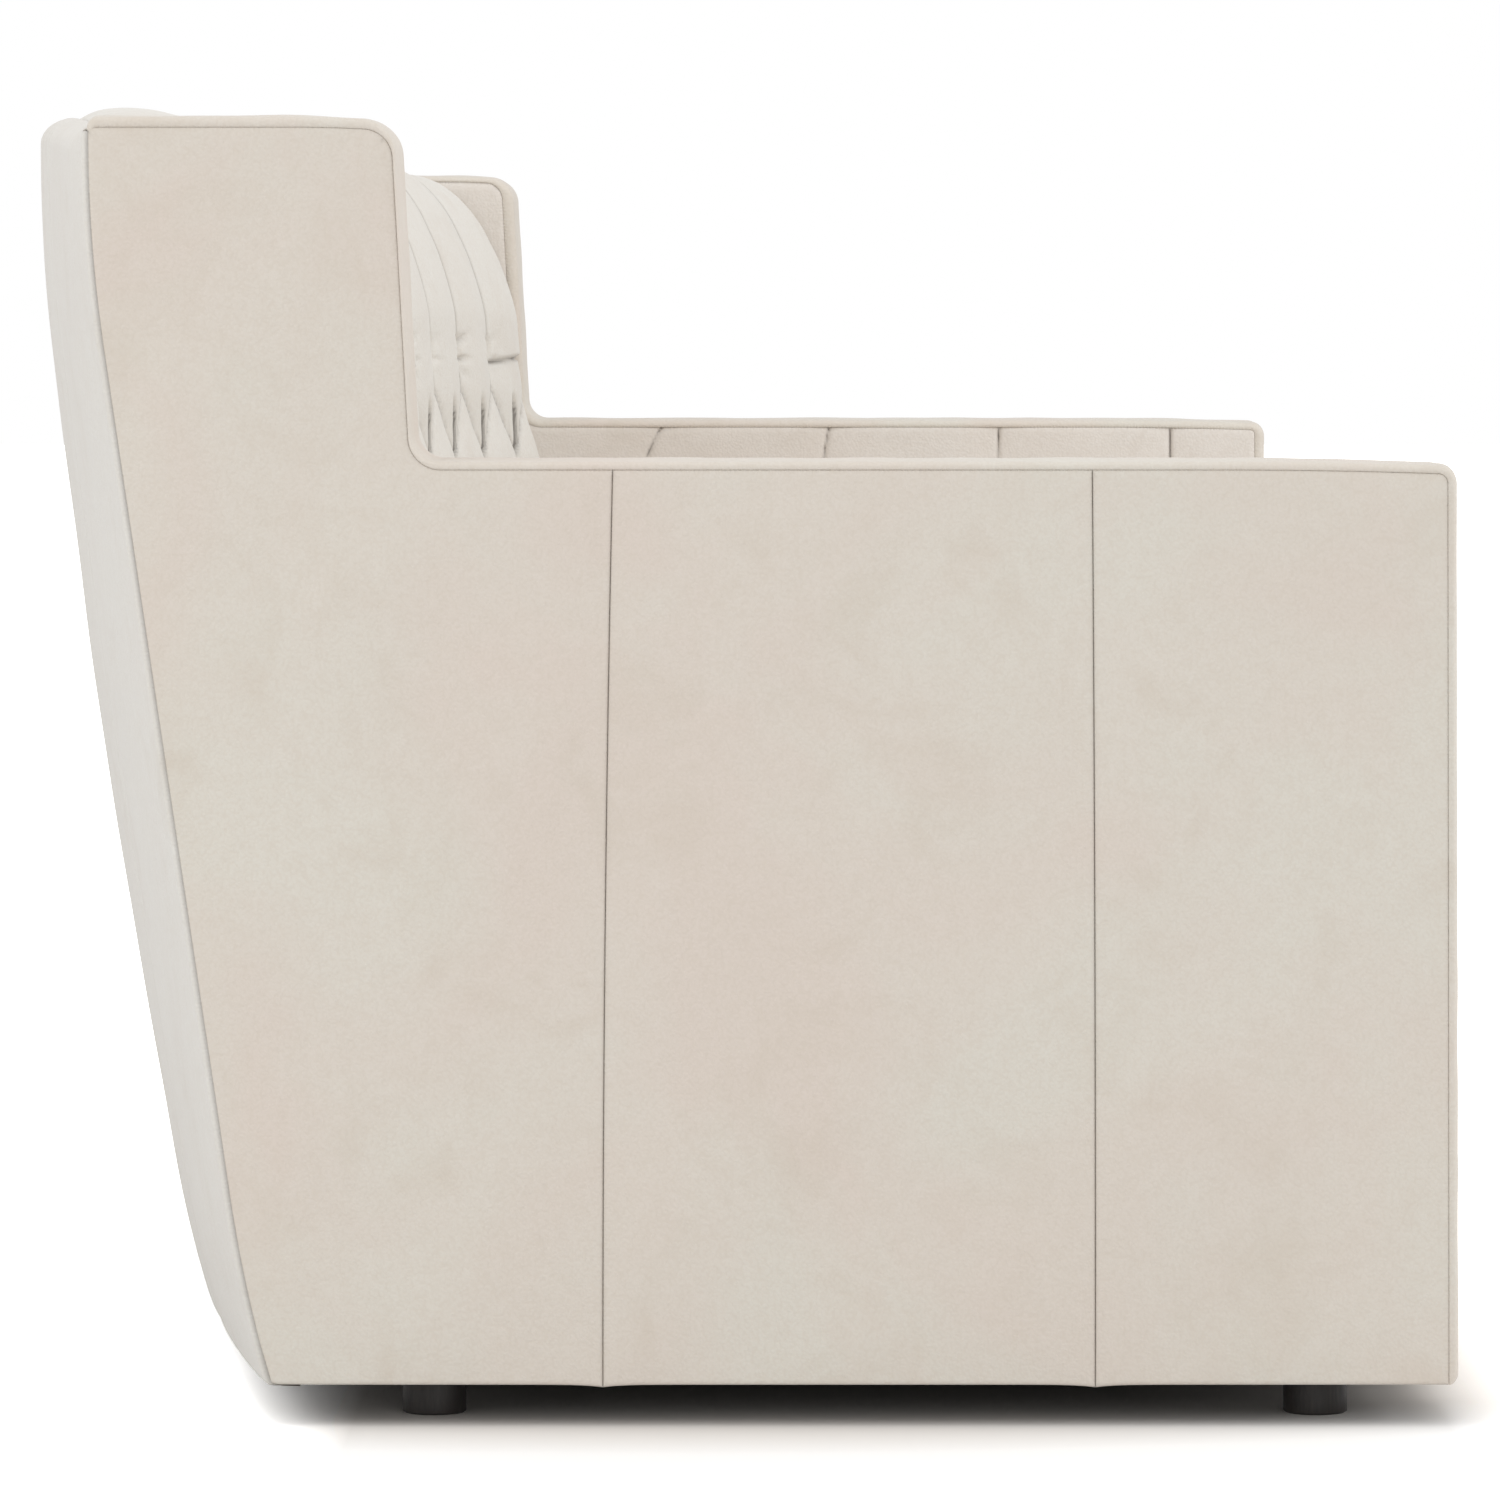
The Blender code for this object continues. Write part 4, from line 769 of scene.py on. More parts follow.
@dataclass(frozen=True)
class Weave:
    """Plain woven or matted cloth: two crossed sets of threads."""

    name: str
    thread: Colour
    shade: Colour
    pitch: float = 0.0025

    def build(self) -> bpy.types.Material:
        """Make the material: threads over and under with painted shade where they dip, and uneven dye."""
        nodes = Nodes(self.name)
        parts = nodes.add("ShaderNodeSeparateXYZ", {"Vector": nodes.place}).outputs
        turn = 2 * math.pi / self.pitch
        first = nodes.math("SINE", nodes.math("MULTIPLY", parts["X"], turn))
        depth = nodes.math("ADD", parts["Y"], parts["Z"])
        second = nodes.math("SINE", nodes.math("MULTIPLY", depth, turn))
        threads = nodes.spread(nodes.math("MULTIPLY", first, second), -1.0, 1.0)
        uneven = nodes.noise(30.0, 4.0, 0.6)
        # Painted shade where the threads dip under each other; the uneven dye below darkens towards the same colour.
        base = nodes.mix(nodes.spread(threads, 0.0, 1.0, 0.7, 0.0), self.thread, self.shade)
        base = nodes.mix(nodes.spread(uneven, 0.3, 0.7, 0.0, 0.35), base, self.shade)
        normal = nodes.bump(threads, 0.5, 0.0004)
        roughness = nodes.spread(uneven, 0.3, 0.7, 0.82, 0.95)
        return nodes.finish(Base_Color=base, Roughness=roughness, Normal=normal)


@dataclass(frozen=True)
class Wire:
    """Drawn spring steel with a thin oil film."""

    name: str

    def build(self) -> bpy.types.Material:
        """Make the material: fine drawing lines and duller patches."""
        nodes = Nodes(self.name)
        place = nodes.add("ShaderNodeMapping", {"Vector": nodes.place, "Scale": (900.0, 30.0, 900.0)})
        lines = nodes.noise(1.0, 2.0, 0.6, 0.0, place.outputs["Vector"])
        base = nodes.mix(nodes.spread(nodes.noise(24.0), 0.4, 0.7), colour(150, 152, 156), colour(104, 104, 106))
        roughness = nodes.spread(lines, 0.3, 0.7, 0.24, 0.46)
        normal = nodes.bump(lines, 0.15, 0.0001)
        return nodes.finish(Base_Color=base, Roughness=roughness, Metallic=1.0, Normal=normal)


@dataclass
class Finishes:
    """Every finish of the sofa, made once."""

    side: bpy.types.Material
    outer_back: bpy.types.Material
    tufted: bpy.types.Material
    inner: bpy.types.Material
    seat: bpy.types.Material
    foot: bpy.types.Material
    board: bpy.types.Material
    board_upright: bpy.types.Material
    webbing: bpy.types.Material
    dust_cover: bpy.types.Material
    wire: bpy.types.Material

    @classmethod
    def make(cls) -> "Finishes":
        """Build the sofa's materials."""
        # The five leathers are copies of one leather, each made lighter or darker to how lit its part looks: partly
        # painted light, partly the hides' own tone.
        side = Leather("side_leather", colour(212, 207, 197), colour(212, 201, 191), colour(200, 189, 175))
        back = Leather("outer_back_leather", colour(219, 216, 210), colour(217, 213, 207), colour(205, 198, 188))
        tufted = Leather("tufted_leather", colour(222, 220, 214), colour(219, 215, 208), colour(206, 197, 186),
                         painted_shade_strength=0.80)
        inner = Leather("inner_side_leather", colour(221, 215, 208), colour(219, 211, 203), colour(205, 195, 184),
                        painted_shade_strength=0.75)
        seat = Leather("seat_leather", colour(215, 209, 199), colour(213, 204, 194), colour(203, 192, 178))
        oak = (colour(206, 176, 136), colour(170, 136, 96))
        return cls(
            side=side.build(), outer_back=back.build(), tufted=tufted.build(), inner=inner.build(),
            seat=seat.build(),
            foot=Timber("dark_foot", colour(52, 46, 42), colour(34, 30, 28), (60.0, 60.0, 8.0), 0.42).build(),
            board=Timber("sawn_board", *oak).build(),
            board_upright=Timber("sawn_post", *oak, stretch=(26.0, 26.0, 2.0)).build(),
            webbing=Weave("jute_webbing", colour(176, 152, 112), colour(122, 98, 64), 0.004).build(),
            dust_cover=Weave("black_lining", colour(44, 44, 46), colour(24, 24, 26), 0.0022).build(),
            wire=Wire("spring_wire").build(),
        )


def dress(piece: bpy.types.Object, body: str, nodes: Sequence[str]) -> None:
    """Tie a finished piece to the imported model, and report it.

    Args:
        piece: The finished piece.
        body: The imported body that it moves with.
        nodes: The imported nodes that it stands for.
    """
    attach(piece, body)
    if nodes:
        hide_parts(*nodes)
    LOG.info("%s: %d faces, for %s", piece.name, len(piece.data.polygons), ", ".join(nodes) or "trim")


@dataclass(frozen=True)
class EdgeInsets:
    """How far the strip's seam lies inside each edge of a side: front, arm, wing front, wing top."""

    outer: tuple[float, float, float, float] = (0.0058, 0.0050, 0.0013, 0.0064)
    inner: tuple[float, float, float, float] = (0.0085, 0.0062, 0.0100, 0.0046)
    rear: float = 0.0040


INSETS = EdgeInsets()


def side_arcs(insets: Sequence[float], gap: float = 0.0) -> list[Array]:
    """The corner arcs of a side's outline at its seam with the strip.

    Args:
        insets: The seam's inset at each edge.
        gap: A further inset of every edge.

    Returns:
        One array of (y, z) points for each corner.
    """
    return corner_arcs(inset_corners(SIZES.profile_corners(), [inset + gap for inset in insets]), 14)


@dataclass
class BorderStrip:
    """The welted strip round an arm's front and top and over its wing."""

    side: Side
    finishes: Finishes
    crown: float = 0.0020
    waviness: float = 0.0005
    step: float = 0.005
    arc_steps: int = 14
    top_cells: int = 22
    foot_radius: float = 0.0065

    def outline(self, insets: Sequence[float]) -> Array:
        """The outline at the insets of its edges, with as many points at any of them."""
        corners = SIZES.profile_corners()
        rear = corners[-1][0]
        corners[-1] = (rear, SIZES.wing_height, SIZES.wing_rear_radius)
        corners.append((rear, SIZES.back_edge_height + SIZES.gap, 0))
        counts = [max(round(math.dist(a[:2], b[:2]) / self.step), 2) for a, b in zip(corners, corners[1:])]
        return trace(corner_arcs(inset_corners(corners, insets), self.arc_steps), counts)

    def section(self) -> tuple[Array, Array, Array]:
        """The section across the arm: a flat top between two rounded edges.

        Returns:
            Places (x, inset), their outward directions, and distances from the nearest seam.
        """
        angles = np.linspace(0, math.pi / 2, self.arc_steps + 1)
        radius = SIZES.strip_radius
        lead = np.array([SIZES.strip_thickness, SIZES.strip_thickness - 0.00025])
        arc = np.stack([SIZES.half - radius * (1 - np.cos(angles)), radius * (1 - np.sin(angles))], 1)
        first = np.concatenate([np.stack([np.full(2, SIZES.half), lead], 1), arc])
        way = np.concatenate([np.tile([1.0, 0.0], (2, 1)), np.stack([np.cos(angles), -np.sin(angles)], 1)])
        middle = SIZES.half - SIZES.arm_thickness / 2
        top = np.linspace(SIZES.half - radius, SIZES.inner_half + radius, self.top_cells + 1)[1:-1]
        places = np.concatenate([first, np.stack([top, np.zeros_like(top)], 1),
                                 (first * [-1, 1] + [2 * middle, 0])[::-1]])
        ways = np.concatenate([way, np.tile([0.0, -1.0], (len(top), 1)), (way * [-1, 1])[::-1]])
        steps = travelled(places)
        return places, ways, np.minimum(steps, steps[-1] - steps)

    def build(self) -> None:
        """Sweep the section along the outline: place plus normal times crown, wave and roll.

        Each edge's inset at a section place is its seam's inset times the place's own share.
        """
        places, ways, distance = self.section()
        shares = places[:, 1] / SIZES.strip_thickness
        middle = SIZES.half - SIZES.arm_thickness / 2
        lines = np.stack([
            self.outline([share * inset for inset in
                          (*(INSETS.outer if x > middle else INSETS.inner), INSETS.rear)])
            for x, share in zip(places[:, 0], shares)])
        normal = self.outline([-0.001] * 5) - self.outline([0.001] * 5)
        normal /= np.linalg.norm(normal, axis=1, keepdims=True)
        along = travelled(lines[0])
        across = (places[:, 0] - SIZES.inner_half) / SIZES.arm_thickness * 2 - 1
        flat = np.clip(distance / 0.03, 0, 1)[:, None]
        lift = self.crown * (1 - across[:, None] ** 4) * flat
        lift = lift + self.waviness * ripple(places[:, 0][:, None], along[None], 0.09, 5) * flat
        lift = lift - WELT.roll(distance)[:, None]
        points = np.empty((len(places), len(along), 3))
        points[..., 0] = places[:, 0][:, None] + ways[:, 0][:, None] * lift
        points[..., 1:] = lines + normal[None] * (-ways[:, 1][:, None] * lift)[..., None]
        points = settle(round_off(points, SIZES.front, SIZES.clearance, self.foot_radius, self.foot_radius))
        rows, columns = points.shape[:2]
        index = np.arange(rows * columns).reshape(rows, columns)
        under = np.stack([index[-1, :-1], index[-1, 1:], index[0, 1:], index[0, :-1]], 1)
        seam = coordinates(along[None], distance[:, None], FAR).reshape(-1, 4)
        quads = np.concatenate([grid_quads(rows, columns), under])
        surface = Surface(points.reshape(-1, 3), quads, [index[:, 0], index[::-1, -1]], seam)
        name = f"{self.side.label}_arm_and_wing_strip"
        piece = surface.mirrored(self.side).build(name, self.finishes.side)
        dress(piece, "sofa_frame", [f"{self.side.label}_border_strip"])


@dataclass(frozen=True)
class UprightSeam:
    """An upright seam of the outer side: it stands at a setback and leans off with height squared."""

    setback: float
    drift: float

    def line(self, gap: float, count: int = 40) -> Array:
        """The seam from the strip down to the floor edge.

        Args:
            gap: How far the line is moved towards the rear.
            count: Steps of the line.

        Returns:
            Its points (y, z).
        """
        top = SIZES.arm_height - INSETS.outer[1] - SIZES.gap
        z = np.linspace(top, SIZES.clearance, count + 1)
        share = (z - SIZES.clearance) / (top - SIZES.clearance)
        return np.stack([SIZES.front + self.setback + gap + self.drift * share**2, z], 1)


@dataclass
class OuterSide:
    """The outer side cover in three pieces between upright seams."""

    side: Side
    finishes: Finishes
    front_seam: UprightSeam = UprightSeam(0.2333, 0.0025)
    middle_seam: UprightSeam = UprightSeam(0.5500, -0.0066)
    crown: float = 0.0014
    waviness: float = 0.0008
    thickness: float = 0.010
    cells: int = 70
    foot_radius: float = 0.0065
    heel_radius: float = 0.0040
    hem_dip: float = 0.0017
    hem_reach: float = 0.011

    def patch(self, near: Array, far: Array, first: Array, last: Array, seams: Sequence[Seam]) -> Surface:
        """A padded cover between four edges: its face at the side's plane plus crown, wave and roll.

        Args:
            near: The top edge, from front to rear.
            far: The bottom edge, or bottom and rear, with as many points.
            first: The front edge, from top to bottom.
            last: The rear edge, or the wing's top, from the near edge to the far one.
            seams: The seams of the four edges, in the same order.

        Returns:
            The closed surface on the +X side.
        """
        across = seam_shares(float(np.linalg.norm(near[0] - far[0])), self.cells)
        places = coons(near, far, resample(first, across), resample(last, across), across, length_shares(near))
        depth, distance, seam = press(places, list(zip((near, far, first, last), seams)))
        face = self.crown * (1 - np.exp(-distance / 0.03)) - depth
        face += self.waviness * ripple(places[..., 0], places[..., 1], 0.17, 11) * np.clip(distance / 0.02, 0, 1)
        front = np.concatenate([SIZES.half + face[..., None], places], 2)
        back = np.concatenate([np.full_like(face, SIZES.half - self.thickness)[..., None], places], 2)
        rear = float(SIZES.rear_y(SIZES.clearance)) - SIZES.gap
        shaped = []
        for points in (front, back):
            points = round_off(points, SIZES.front, SIZES.clearance, self.foot_radius, self.foot_radius)
            points = round_off(points, rear, SIZES.clearance, -self.heel_radius, self.heel_radius)
            for upright in (self.front_seam, self.middle_seam):
                away = np.abs(points[..., 1] - SIZES.front - upright.setback) / self.hem_reach
                low = np.clip((SIZES.clearance + 0.03 - points[..., 2]) / 0.03, 0, 1)
                points[..., 2] -= self.hem_dip * np.exp(-away) * low
            shaped.append(settle(points))
        return slab(shaped[0], shaped[1], seam)

    def straight(self, top: Array, first: Array, last: Array, seams: Sequence[Seam], count: int) -> Surface:
        """A piece whose bottom is straight under its top.

        Args:
            top: The top edge, from front to rear.
            first: The front edge, from top to bottom.
            last: The rear edge, from top to bottom.
            seams: The seams of the top, bottom, front and rear edges.
            count: Cells along the top.

        Returns:
            The closed surface.
        """
        shares = seam_shares(float(np.linalg.norm(top[-1] - top[0])), count)
        far = first[-1] + (last[-1] - first[-1]) * shares[:, None]
        return self.patch(resample(top, shares), far, first, last, seams)

    def rear_piece(self, first: Array, foot_arc: Array, wing_arc: Array) -> Surface:
        """The rear piece: it fans round the wing's foot and runs up the wing.

        Args:
            first: The seam with the middle piece, from top to bottom.
            foot_arc: The arc between the arm and the wing.
            wing_arc: The arc of the wing's top corner.

        Returns:
            The closed surface.
        """
        bottom, fan, middle = SIZES.clearance, 44, len(wing_arc) // 2
        run = first[0] + (foot_arc[0] - first[0]) * seam_shares(0.1, 24)[: -9][:, None]
        run = np.concatenate([run, foot_arc[:1]])
        low = np.linspace(first[-1], [foot_arc[0, 0], bottom], 400)
        low = resample(low, length_shares(run))
        rise = np.linspace(bottom, foot_arc[-1, 1], fan // 2 + 1)
        heel = [float(SIZES.rear_y(bottom)) - SIZES.gap, bottom]
        corner = np.concatenate([np.linspace(low[-1], heel, fan // 2 + 1),
                                 np.stack([SIZES.rear_y(rise) - SIZES.gap, rise], 1)[1:]])
        edge_top = SIZES.wing_height - INSETS.outer[3] - SIZES.gap
        wing = np.concatenate([np.linspace(foot_arc[-1], wing_arc[0], 400)[:-1], wing_arc[: middle + 1]])
        shares = seam_shares(0.2, 40)[9:]
        shares = (shares - shares[0]) / (shares[-1] - shares[0])
        climb = np.linspace(rise[-1], edge_top, 200)
        rear = resample(np.stack([SIZES.rear_y(climb) - SIZES.gap, climb], 1), shares)
        near = np.concatenate([run[:-1], resample(foot_arc, np.linspace(0, 1, fan + 1)), resample(wing, shares)[1:]])
        far = np.concatenate([low[:-1], corner, rear[1:]])
        last = np.concatenate([wing_arc[middle:], [[float(SIZES.rear_y(edge_top)) - SIZES.gap, edge_top]]])
        return self.patch(near, far, first, last, (WELT, HEM, JOIN, WELT))

    def build(self) -> None:
        """Make the front, middle and rear pieces."""
        gap = SIZES.gap / 2
        corner_front, front_arc, foot_arc, wing_arc, _ = side_arcs(INSETS.outer, SIZES.gap)
        half = len(front_arc) // 2
        front_seam = [self.front_seam.line(shift) for shift in (-gap, gap)]
        middle_seam = [self.middle_seam.line(shift) for shift in (-gap, gap)]
        edge = np.concatenate([front_arc[half::-1], [[corner_front[0, 0], SIZES.clearance]]])
        top = np.concatenate([front_arc[half:], front_seam[0][:1]])
        between = np.stack([front_seam[1][0], middle_seam[0][0]])
        pieces = {
            "front": self.straight(top, edge, front_seam[0], (WELT, HEM, WELT, JOIN), 50),
            "middle": self.straight(between, front_seam[1], middle_seam[0], (WELT, HEM, JOIN, JOIN), 60),
            "rear": self.rear_piece(middle_seam[1], foot_arc, wing_arc),
        }
        for place, surface in pieces.items():
            name = f"{self.side.label}_outer_side_{place}"
            piece = surface.mirrored(self.side).build(name, self.finishes.side)
            dress(piece, "sofa_frame", [f"{self.side.label}_side_panel_{place}"])


@dataclass
class OuterBack:
    """The bowed outer back, sewn from upright panels that are slightly padded."""

    finishes: Finishes
    panel_count: int = 7
    pad: float = 0.0030
    pad_edge: float = 0.0055
    crown: float = 0.0014
    waviness: float = 0.0006
    upright_cells: int = 64
    across_cells: int = 40
    arc_steps: int = 14

    def panel(self, number: int) -> Surface:
        """One panel: y is the seam surface plus a quick rise from each seam, a crown and waves.

        Its top is rounded over towards the crest, by no more than the bow at that place.

        Args:
            number: The panel's place from the left, from 0.

        Returns:
            The closed surface.
        """
        width = SIZES.width / self.panel_count
        low = -SIZES.half + width * number + (SIZES.gap / 2 if number else 0)
        high = -SIZES.half + width * (number + 1) - (SIZES.gap / 2 if number < self.panel_count - 1 else 0)
        x = low + (high - low) * seam_shares(width, self.across_cells)
        top = SIZES.back_edge_height - SIZES.back_edge_radius
        shares = np.concatenate([seam_shares(top - SIZES.clearance, self.upright_cells)[:-9], [1.0]])
        heights = SIZES.clearance + (top - SIZES.clearance) * shares
        stretch = SIZES.outer_rise(x) / (top - SIZES.bend_height)
        z = heights[None] + np.clip(heights - SIZES.bend_height, 0, None)[None] * stretch[:, None]
        turn = np.linspace(0, math.pi / 2, self.arc_steps + 1)[1:]
        z = np.concatenate([z, z[:, -1:] + SIZES.back_edge_radius * np.sin(turn)[None]], 1)
        room = np.minimum(SIZES.panel_thickness - 0.0012, SIZES.bow(x, SIZES.wing_height) + 0.0002)
        reach = np.concatenate([np.zeros(len(heights)), 1 - np.cos(turn)])[None] * room[:, None]
        grid_x = np.broadcast_to(x[:, None], z.shape)
        from_side = np.minimum(grid_x - low, high - grid_x)
        from_foot = z - SIZES.clearance
        path = np.cumsum(np.hypot(np.diff(z, axis=1, prepend=z[:, :1]), np.diff(reach, axis=1, prepend=0)), axis=1)
        from_top = path[:, -1:] - path
        share = (2 * grid_x - low - high) / (high - low)
        near = 1 - np.clip(np.minimum(from_side, from_foot) / self.pad_edge, 0, 1)
        swell = self.pad * np.sqrt(1 - near**2) + self.crown * (1 - share**4)
        edge = np.minimum(np.minimum(from_side, from_foot), from_top)
        swell = swell + self.waviness * ripple(grid_x + number, z, 0.16, 23) * np.clip(edge / 0.02, 0, 1)
        swell = swell * np.clip(1 - reach / SIZES.panel_thickness, 0, 1)
        y = SIZES.outer_y(grid_x, z) + swell - reach
        front = np.stack([grid_x, y, z - JOIN.roll(from_top)], 2)
        at_end = np.abs(x) > SIZES.half - 1e-6
        inner = np.where(at_end, np.sign(x) * (SIZES.half - SIZES.side_thickness), x)[:, None]
        inner = np.broadcast_to(inner, z.shape)
        back = np.stack([inner, SIZES.lining_y(inner, z), z - 0.001], 2)
        join = 0 < number < self.panel_count - 1
        # Painted shade along the top seam and every side seam, a little fainter on the middle panels.
        dark = np.minimum(from_top, from_side + (0.0008 if join else 0.0))
        along = np.where(from_side <= np.minimum(from_foot, from_top), z, grid_x)
        return slab(front, back, coordinates(along, from_side + 0.001, dark))

    def build(self) -> None:
        """Make every panel."""
        for number in range(self.panel_count):
            name = f"outer_back_cover_{number + 1}"
            piece = self.panel(number).outwards().build(name, self.finishes.outer_back)
            dress(piece, "sofa_frame", [f"outer_back_panel_{number + 1}"])


@dataclass
class TuftField:
    """Deep tufting: pillows between creases that run from button to button.

    Above the first row and below the last one the creases run straight.
    """

    pitch: float
    first_height: float
    spacing: float
    rows: int

    def crease(self, across: Array, height: Array) -> Array:
        """Distances to the nearest crease, measured along the rows.

        A place's measure is 0 in the middle of a pillow and 1 in a crease: its distances
        sideways and upright from the middle, in half pitches and row spacings, added.
        """
        least = np.ones(np.broadcast(across, height).shape)
        for row in range(self.rows):
            level = self.first_height - self.spacing * row
            offset = across - self.pitch / 2 * (1 - row % 2)
            sideways = np.abs(offset - self.pitch * np.round(offset / self.pitch)) / (self.pitch / 2)
            upright = np.abs(height - level) / self.spacing
            if row == 0:
                upright = np.where(height > level, 0, upright)
            if row == self.rows - 1:
                upright = np.where(height < level, 0, upright)
            least = np.minimum(least, sideways + upright)
        return np.clip(1 - least, 0, 1) * self.pitch / 2

    def fullness(self, across: Array, height: Array) -> Array:
        """1 in the middle of a pillow and 0 in a crease: the cosines across and upright, added."""
        turn = (across / (self.pitch / 2) - 1) * math.pi
        climb = np.clip((height - self.first_height) / self.spacing, 1 - self.rows, 0) * math.pi
        return np.abs(np.cos(turn) + np.cos(climb)) / 2

    def buttons(self, length: float) -> Array:
        """Places (across, height, row) of the buttons, where the creases meet.

        Args:
            length: The length of the tufted surface along the rows.

        Returns:
            One row for each button.
        """
        places = []
        for row in range(self.rows):
            shift = self.pitch / 2 * (row % 2)
            across = np.arange(shift, length + self.pitch / 4, self.pitch)
            across = across[(across > self.pitch / 4) & (across < length - self.pitch / 4)]
            level = np.full_like(across, self.first_height - self.spacing * row)
            places.append(np.stack([across, level, np.full_like(across, row)], 1))
        return np.concatenate(places)


def smoothed(knots: Sequence[tuple[float, float]], step: float, reach: float) -> Array:
    """A polyline through knots, cut to even steps and averaged over a reach along it.

    Args:
        knots: Points of two coordinates in order.
        step: About how long one step is.
        reach: The length over which the points are averaged, with a rounded weight.

    Returns:
        The smoothed points; the ends stay in place.
    """
    line = np.array(knots, float)
    length = float(np.linalg.norm(np.diff(line, axis=0), axis=1).sum())
    count = max(round(length / step), 4)
    points = resample(line, np.linspace(0, 1, count + 1))
    half = max(round(reach / (length / count) / 2), 1)
    weight = np.hanning(2 * half + 3)[1:-1]
    before = 2 * points[0] - points[half:0:-1]
    after = 2 * points[-1] - points[-2:-half - 2:-1]
    padded = np.concatenate([before, points, after])
    return np.stack([np.convolve(padded[:, axis], weight / weight.sum(), "valid") for axis in (0, 1)], 1)


def crowded(count: int, share: float = 0.115) -> Array:
    """Rising shares from 0 to 1 that crowd at both ends, by a sine taken off an even run."""
    even = np.linspace(0, 1, count + 1)
    return even - share * np.sin(2 * math.pi * even)


def domes(places: Array, normals: Array, radius: float, height: float) -> Surface:
    """Covered buttons: shallow domes with a tucked rim, turned towards their normals.

    A dome's radius and height are the cosine and sine of one angle, from its rim to its pole.

    Args:
        places: The middle of each button.
        normals: The outward direction of each.
        radius: The buttons' radius.
        height: How far they stand up.

    Returns:
        One surface with every button closed.
    """
    sides, rings = 20, 6
    angle = np.linspace(-0.5, math.pi / 2 * 0.94, rings)
    around = np.linspace(0, 2 * math.pi, sides, endpoint=False)
    out = radius * np.cos(angle)
    up = height * np.sin(angle)
    reference = np.array([1.0, 0.0, 0.0])
    first = np.cross(normals, reference)
    first /= np.linalg.norm(first, axis=1, keepdims=True)
    second = np.cross(normals, first)
    ring = first[:, None] * np.cos(around)[None, :, None] + second[:, None] * np.sin(around)[None, :, None]
    points = (places[:, None, None] + ring[:, None] * out[None, :, None, None]
              + normals[:, None, None] * up[None, :, None, None])
    index = np.arange(len(places) * rings * sides).reshape(len(places), rings, sides)
    here, there = index, np.roll(index, -1, axis=2)
    quads = np.stack([here[:, :-1], there[:, :-1], there[:, 1:], here[:, 1:]], 3).reshape(-1, 4)
    caps = [loop for button in index for loop in (button[0, ::-1], button[-1])]
    seam = np.tile([0.0, FAR, FAR, 0.0], (points.size // 3, 1))
    return Surface(points.reshape(-1, 3), quads, caps, seam).outwards()


